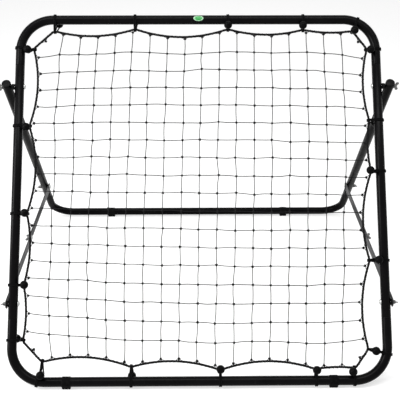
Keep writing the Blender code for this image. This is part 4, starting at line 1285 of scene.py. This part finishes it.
# %% Edge and corner knots
MESHES = 18
EDGE_INSET = {"top": 0.0050, "bottom": 0.0065, "left": 0.0075, "right": 0.0075}
CORNER_INSET = 0.0045
HOOK_ROOM, HOOK_HALF = 0.004, 0.020
ropes = {side: [np.array(p) for p in side_rope(side)] for side in SHARES}
hook_places = {side: [np.array(hook) for hook in hooks_of(side)[0]] for side in SHARES}
ENDS = {"top": (("left", -1), ("right", -1)), "bottom": (("left", 0), ("right", 0)),
        "left": (("bottom", 0), ("top", 0)), "right": (("bottom", -1), ("top", -1))}


def net_edge(side, t):
    """Coordinate across a side of the net's edge, at a coordinate t along it."""
    along, across = (1, 0) if side in ("left", "right") else (0, 1)
    (before, before_end), (after, after_end) = ENDS[side]
    line = np.array([ropes[before][before_end]] + ropes[side] + [ropes[after][after_end]])
    rope_at = np.interp(t, line[:, along], line[:, across])
    nearest = min(abs(hook[along] - t) for hook in hook_places[side])
    inset = EDGE_INSET[side] + HOOK_ROOM * max(0.0, 1 - nearest / HOOK_HALF)
    return rope_at + INWARD[side][across] * inset


def corner_knot(first, first_end, second, second_end):
    """Knot in a corner, set inwards from the straight bit of rope across it."""
    middle = (ropes[first][first_end] + ropes[second][second_end]) / 2
    return middle + np.array(INWARD[first] + INWARD[second]) * CORNER_INSET


corners = {(0, 0): corner_knot("left", 0, "bottom", 0),
           (1, 0): corner_knot("right", 0, "bottom", -1),
           (0, 1): corner_knot("left", -1, "top", 0),
           (1, 1): corner_knot("right", -1, "top", -1)}
share = np.linspace(0, 1, MESHES + 1)
u, v = share[:, None, None], share[None, :, None]
knots = ((1 - u) * (1 - v) * corners[0, 0] + u * (1 - v) * corners[1, 0]
         + (1 - u) * v * corners[0, 1] + u * v * corners[1, 1])
for k in range(1, MESHES):
    knots[0, k, 0] = net_edge("left", knots[0, k, 1])
    knots[-1, k, 0] = net_edge("right", knots[-1, k, 1])
    knots[k, 0, 1] = net_edge("bottom", knots[k, 0, 0])
    knots[k, -1, 1] = net_edge("top", knots[k, -1, 0])
print("the corners lie at", [corner.round(3).tolist() for corner in corners.values()])

# %% Inner knots
NET_SAG = 0.004
ASIDE_SPREAD, DEPTH_SPREAD = 0.0011, 0.0005
SETTLING_ROUNDS = 600
chance = np.random.default_rng(11)
for _ in range(SETTLING_ROUNDS):
    knots[1:-1, 1:-1] = (knots[:-2, 1:-1] + knots[2:, 1:-1]
                         + knots[1:-1, :-2] + knots[1:-1, 2:]) / 4
knots[1:-1, 1:-1] += chance.normal(0, ASIDE_SPREAD, (MESHES - 1, MESHES - 1, 2))
sink = -NET_SAG * np.sin(pi * share)[:, None] * np.sin(pi * share)[None, :]
sink[1:-1, 1:-1] += chance.normal(0, DEPTH_SPREAD, (MESHES - 1, MESHES - 1))
knot_places = np.array([[on_frame(*knots[i, j], sink[i, j]) for j in range(MESHES + 1)]
                        for i in range(MESHES + 1)])
mesh_width = np.linalg.norm(np.diff(knot_places[:, MESHES // 2], axis=0), axis=1)
print("mesh width", round(mesh_width.min(), 4), "to", round(mesh_width.max(), 4))

# %% [markdown]
# The twine is one long tube for each line of the net. Halfway between two knots it wanders by about
# a millimetre, and the corners are softened, so that it reads as string and not as wire. Each knot
# is the same small tangle, a three-lobed closed curve that crosses itself as an overhand knot does,
# turned a different way each time.

# %% Twine
TWINE_R = 0.00115
PLY_TURN = 0.0045
MIDDLE_SPREAD = 0.0007
twine_finish, tree, shader = new_finish("net_twine", specular=0.12)
turn, along = lay_axes(tree)
ply = maths(tree, "COSINE", maths(tree, "ADD", maths(tree, "MULTIPLY", turn, 4 * pi),
                                  maths(tree, "MULTIPLY", along, 2 * pi / PLY_TURN)))
ply_height = ranged(tree, ply, -1, 1, 0, 1)
fuzz = noise(tree, 1800, 3)
# Painted shade: the twine is coloured darker in the grooves between its plies; the fuzz is random
# tone.
tone = maths(tree, "MULTIPLY", ply_height, ranged(tree, fuzz, 0.3, 0.7, 0.6, 1.0))
tree.links.new(mixed(tree, tone, (0.0035, 0.0035, 0.0038), (0.015, 0.015, 0.016)),
               shader.inputs["Base Color"])
tree.links.new(ranged(tree, fuzz, 0.3, 0.7, 0.72, 0.92), shader.inputs["Roughness"])
bump(tree, shader, [(ply_height, 0.6, 0.0002), (fuzz, 0.2, 0.0001)])


def twine_line(row):
    """Softened line through a row of knots, wandering a little between them."""
    middles = (row[:-1] + row[1:]) / 2 + chance.normal(0, MIDDLE_SPREAD, (len(row) - 1, 3))
    line = np.empty((2 * len(row) - 1, 3))
    line[::2], line[1::2] = row, middles
    return softened(line, spacing=0.0032, width=0.0045)


lines = [twine_line(knot_places[i]) for i in range(1, MESHES)]
lines += [twine_line(knot_places[:, j]) for j in range(1, MESHES)]
twine_mesh = mesh_from("net_twine", [tube_part(line, TWINE_R, 6) for line in lines], 180)
dress(new_piece("net_twine", twine_mesh), twine_finish, "twine", "frame", "net")
print("twine", len(twine_mesh.polygons), "faces")

# %% Knots
KNOT_SIZE = 0.00074
KNOT_TWINE_R = TWINE_R * 1.5
EDGE_KNOT = 1.1
t = np.linspace(0, 2 * pi, 18, endpoint=False)
tangle = KNOT_SIZE * np.stack([np.sin(t) + 2 * np.sin(2 * t), np.cos(t) - 2 * np.cos(2 * t),
                               -1.5 * np.sin(3 * t)], 1)
tangle_points, tangle_faces, tangle_uvs = tube_part(tangle, KNOT_TWINE_R, 6, closed=True)
at_edge = np.ones((MESHES + 1, MESHES + 1), bool)
at_edge[1:-1, 1:-1] = False
face_net = Vector((0, 0, 1)).rotation_difference(FRONT).to_matrix()
knot_parts = []
for place, outer in zip(knot_places.reshape(-1, 3), at_edge.ravel()):
    spin = np.array(Matrix.Rotation(chance.uniform(0, 2 * pi), 3, FRONT) @ face_net)
    size = chance.uniform(0.9, 1.1) * (EDGE_KNOT if outer else 1.0)
    knot_parts.append((tangle_points @ spin.T * size + place, tangle_faces, tangle_uvs))
knot_mesh = mesh_from("net_knots", knot_parts, 180)
dress(new_piece("net_knots", knot_mesh), twine_finish, "twine", "frame")
print("knots", len(knot_mesh.polygons), "faces")

# %% [markdown]
# ## Lacing
# The outer meshes aren't tied to the rope knot by knot. One twine runs round the whole edge: from
# each edge knot two strands go out to the rope as a small V, and between two Vs the twine is wound
# round the rope. The path is worked out along the rope's own line, with a spiral that starts and
# ends on the side that faces the net.

# %% Where the lacing runs
LACE_HALF = 0.0075
LACE_TURNS = 3
LACE_R = ROPE_R + 0.0007
LACE_TWINE_R = 0.0007
edge = [*knot_places[:, -1], *knot_places[-1, -2::-1],
        *knot_places[-2::-1, 0], *knot_places[0, 1:-1]]
front = np.array(FRONT)
spacing = rope_length / len(rope_line)
nearest = [int(np.argmin(np.linalg.norm(rope_line - knot, axis=1))) for knot in edge]
rope_ahead = unit(np.roll(rope_line, -1, 0) - rope_line)
rope_inward = unit(np.cross(front, rope_ahead))
to_centre = on_frame(0, SPAN_UP / 2) - rope_line
rope_inward *= np.sign(np.einsum("ij,ij->i", rope_inward, to_centre))[:, None]


def on_rope(index, turn):
    """Point on the lacing's circle round the rope; turn 0 faces the net."""
    index = int(index) % len(rope_line)
    return rope_line[index] + LACE_R * (cos(turn) * rope_inward[index] + sin(turn) * front)


print(len(edge), "edge knots to lace; the rope's rings are", round(spacing, 5), "m apart")

# %% Lacing twine
lace = []
for k, knot in enumerate(edge):
    here, there = nearest[k], nearest[(k + 1) % len(edge)]
    span = (there - here) % len(rope_line)
    start, stop = here + LACE_HALF / spacing, here + span - LACE_HALF / spacing
    lace.append(knot)
    if stop > start:
        for index in np.linspace(start, stop, 10 * LACE_TURNS + 1):
            lace.append(on_rope(index, 2 * pi * LACE_TURNS * (index - start) / (stop - start)))
    else:
        lace.append(on_rope(here + span / 2, 0.0))
lace_line = softened(lace, spacing=0.0016, width=0.0009, closed=True)
lace_mesh = mesh_from("net_lacing", [tube_part(lace_line, LACE_TWINE_R, 6, closed=True)], 180)
dress(new_piece("net_lacing", lace_mesh), twine_finish, "twine", "frame")
print("lacing", len(lace_mesh.polygons), "faces over", len(edge), "edge knots")

# %% [markdown]
# ## Ball bungees
# A ball bungee is one elastic cord with both ends inside a plastic ball. Doubled, it goes round the
# tube and back round the rope, and its loop end is pulled over the ball and sits behind the ball's
# neck. Some balls ended up in front of the tube or the rope, and a few behind the tube. The path is
# worked out in the plane across the tube from tangents and arcs, for a ball in front, with a
# sideways shift for each of the two strands, and is turned over for a ball behind.

# %% Where each ball lies: inwards of the tube, before or behind it, and along it
BALL_R = 0.011
BALL_REACH = {
    "top": (0.001, -0.006, 0.0214, 0.022, 0.0295),
    "bottom": (0.0182, 0.0125, 0.0308, 0.0271, 0.0225),
    "left": (0.006, 0.0308, 0.0269, 0.0241, 0.0222),
    "right": (0.0301, 0.0182, 0.0305, 0.003, 0.0179),
}
BALL_SIDE = {"top": (-1, -1, 1, 1, 1), "bottom": (1, -1, 1, 1, 1),
             "left": (-1, 1, 1, 1, 1), "right": (1, 1, 1, -1, 1)}
BALL_ASIDE = {"top": (0.006, 0.0, 0.0, -0.002, 0.004), "bottom": (0.007, 0.0, 0.0, 0.0, -0.006),
              "left": (0.003, 0.0, 0.0, -0.006, -0.006), "right": (0.0, 0.0, 0.0, 0.0, -0.006)}
LEAST_OFF = 0.009


def ball_front(reach, ball_at):
    """How far the ball's centre lies off the frame's plane, with a cord's room beneath it."""
    off = LEAST_OFF
    for radius, beside in ((TUBE_R, ball_at), (ROPE_R, reach - ball_at)):
        clear = radius + 2 * CORD_R + GAP + BALL_R
        if abs(beside) < clear:
            off = max(off, sqrt(clear ** 2 - beside ** 2))
    return off


print("a ball between tube and rope lies", round(ball_front(0.03, 0.015), 4), "off the plane")


# %% Finishes of cord and ball, and the ball's shape
CORD_DIAMONDS, CORD_DIAMOND, CORD_RELIEF = 4, 0.0046, 0.0004
# The first colour is painted shade, for the braid's valleys and the gaps between its yarns.
cord_finish = braided_finish("elastic_cord", CORD_DIAMONDS, CORD_DIAMOND,
                             (0.0010, 0.0010, 0.0012), (0.0050, 0.0049, 0.0051), 0.07)
ball_finish = cloudy_finish("ball_plastic", (160, 5),
                            ((0.0014, 0.0014, 0.0016), (0.0032, 0.0031, 0.0032)),
                            (240, 4, 0.30, 0.50), [(1300, 2, 0.15, 0.0001)],
                            spread=(0.35, 0.7), specular=0.035)

MOUTH_R, MOUTH_ROUND = 0.0037, 0.0009
SEAM_HIGH, SEAM_HALF = 0.00012, 0.0003
mouth = [(0, 0.0050), (MOUTH_R, 0.0050), (MOUTH_R, 0.0096)]
shell = [(BALL_R * sin(a), BALL_R * cos(a))
         for a in np.linspace(asin((MOUTH_R + MOUTH_ROUND) / BALL_R), pi, 30)]
seam = [(BALL_R - 0.00002, SEAM_HALF), (BALL_R + SEAM_HIGH, 0.00012),
        (BALL_R + SEAM_HIGH, -0.00012), (BALL_R - 0.00002, -SEAM_HALF)]
ball_profile = mouth + sorted(shell + seam, key=lambda point: -point[1])
ball_part = turned_part(ball_profile[::-1], 40)
print("ball faces", len(ball_part[1]))

# %% The cord's path
TUBE_TURN = TUBE_R + CORD_R - 0.0008
ROPE_TURN = ROPE_R + CORD_R + 0.0001
STRAND = CORD_R - 0.0001
NECK_OFF = 0.0016
MOUTH_DEPTHS = (0.0055, 0.0085, 0.0116)
NECK_LOOP = ((-0.0025, 0.0045), (0.0, 0.0061), (0.0028, 0.0052), (0.0041, 0.0028), (0.0044, 0.0))


def bungee_line(reach, ball_at, front, aside):
    """The cord's path in (inward, front, along): mouth, tube, rope, and a loop round the neck.

    One strand is worked out, from the mouth to the loop's far side, and the other is its mirror
    image, so each point also says how far it lies from the middle of the two.
    """
    ball = Vector((ball_at, front))
    down = (Vector(((TUBE_R + reach - ROPE_R) / 2, 0)) - ball).normalized()
    neck = ball + down * (BALL_R + NECK_OFF)
    start = atan2(neck.y, neck.x) + acos(min(1.0, TUBE_TURN / neck.length))
    leave = 2 * pi - acos((TUBE_TURN - ROPE_TURN) / reach)
    above = Vector((neck.x - reach, neck.y))
    meet = atan2(above.y, above.x) - acos(min(1.0, ROPE_TURN / above.length))
    held = arc((0, 0), TUBE_TURN, start, leave, 40)
    held += arc((reach, 0), ROPE_TURN, leave - 2 * pi, meet, 12)
    away = Vector((-down.y, down.x))
    away *= copysign(1.0, away.dot(neck - Vector(held[-1])))
    half = [(*(ball + down * depth), aside, STRAND) for depth in MOUTH_DEPTHS]
    half += [(a, b, 0.0, STRAND) for a, b in held]
    half += [(*(neck + away * off), aside, beside) for off, beside in NECK_LOOP]
    return ([(a, b, middle + beside) for a, b, middle, beside in half]
            + [(a, b, middle - beside) for a, b, middle, beside in half[-2::-1]])


print("a cord's path:", len(bungee_line(0.03, 0.015, ball_front(0.03, 0.015), 0.0)), "points")


# %% Cord and ball
def bungee_mesh(side, number):
    """Mesh of one bungee in world coordinates, and how many of its faces are the ball's."""
    point, direction, normal = side_spot(side, SHARES[side][number])
    origin = on_frame(*point)
    inward = on_frame(*(point + normal)) - origin
    across = on_frame(*(point + direction)) - origin
    facing = front * BALL_SIDE[side][number]
    frame_axes = np.stack([inward, facing, across])
    ball_at, aside = BALL_REACH[side][number], BALL_ASIDE[side][number]
    to_rope = (rope_line - origin) @ np.stack([inward, across], 1)
    elsewhere = np.abs(to_rope[:, 0] - ROPE_REACH[side][number]) > 0.01
    reach = to_rope[np.argmin(np.abs(to_rope[:, 1]) + 10 * elsewhere), 0]
    off_plane = ball_front(reach, ball_at)
    line = bungee_line(reach, ball_at, off_plane, aside)
    axis = unit((np.array(line[1]) - np.array(line[0])) @ frame_axes)
    line = np.array(line) @ frame_axes + origin
    cord = tube_part(softened(line, spacing=0.00065, width=0.0008), CORD_R, 16,
                     relief=braid_relief(CORD_DIAMONDS, CORD_DIAMOND, CORD_RELIEF))
    cross = unit(np.cross(across, axis))
    points, faces, uvs = ball_part
    centre = origin + inward * ball_at + facing * off_plane + across * aside
    ball = (points @ np.stack([cross, np.cross(axis, cross), axis]) + centre, faces, uvs)
    return mesh_from("bungee", [ball, cord], 60), len(faces)


for side, shares in SHARES.items():
    for number in range(len(shares)):
        mesh, ball_faces = bungee_mesh(side, number)
        mesh.materials.append(ball_finish)
        mesh.materials.append(cord_finish)
        for face in mesh.polygons[ball_faces:]:
            face.material_index = 1
        name = f"{side}_{number + 1}"
        dress(new_piece("ball_bungee_" + name, mesh), None, "bungee", "frame", "bungee_" + name)
print("a bungee has", len(mesh.polygons), "faces")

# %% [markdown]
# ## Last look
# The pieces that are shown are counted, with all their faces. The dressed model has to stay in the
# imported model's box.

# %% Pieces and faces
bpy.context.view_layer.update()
shown = [o for o in bpy.context.scene.objects if o.type == "MESH" and not o.hide_render]
print("pieces", len(shown), "faces", sum(len(o.data.polygons) for o in shown))
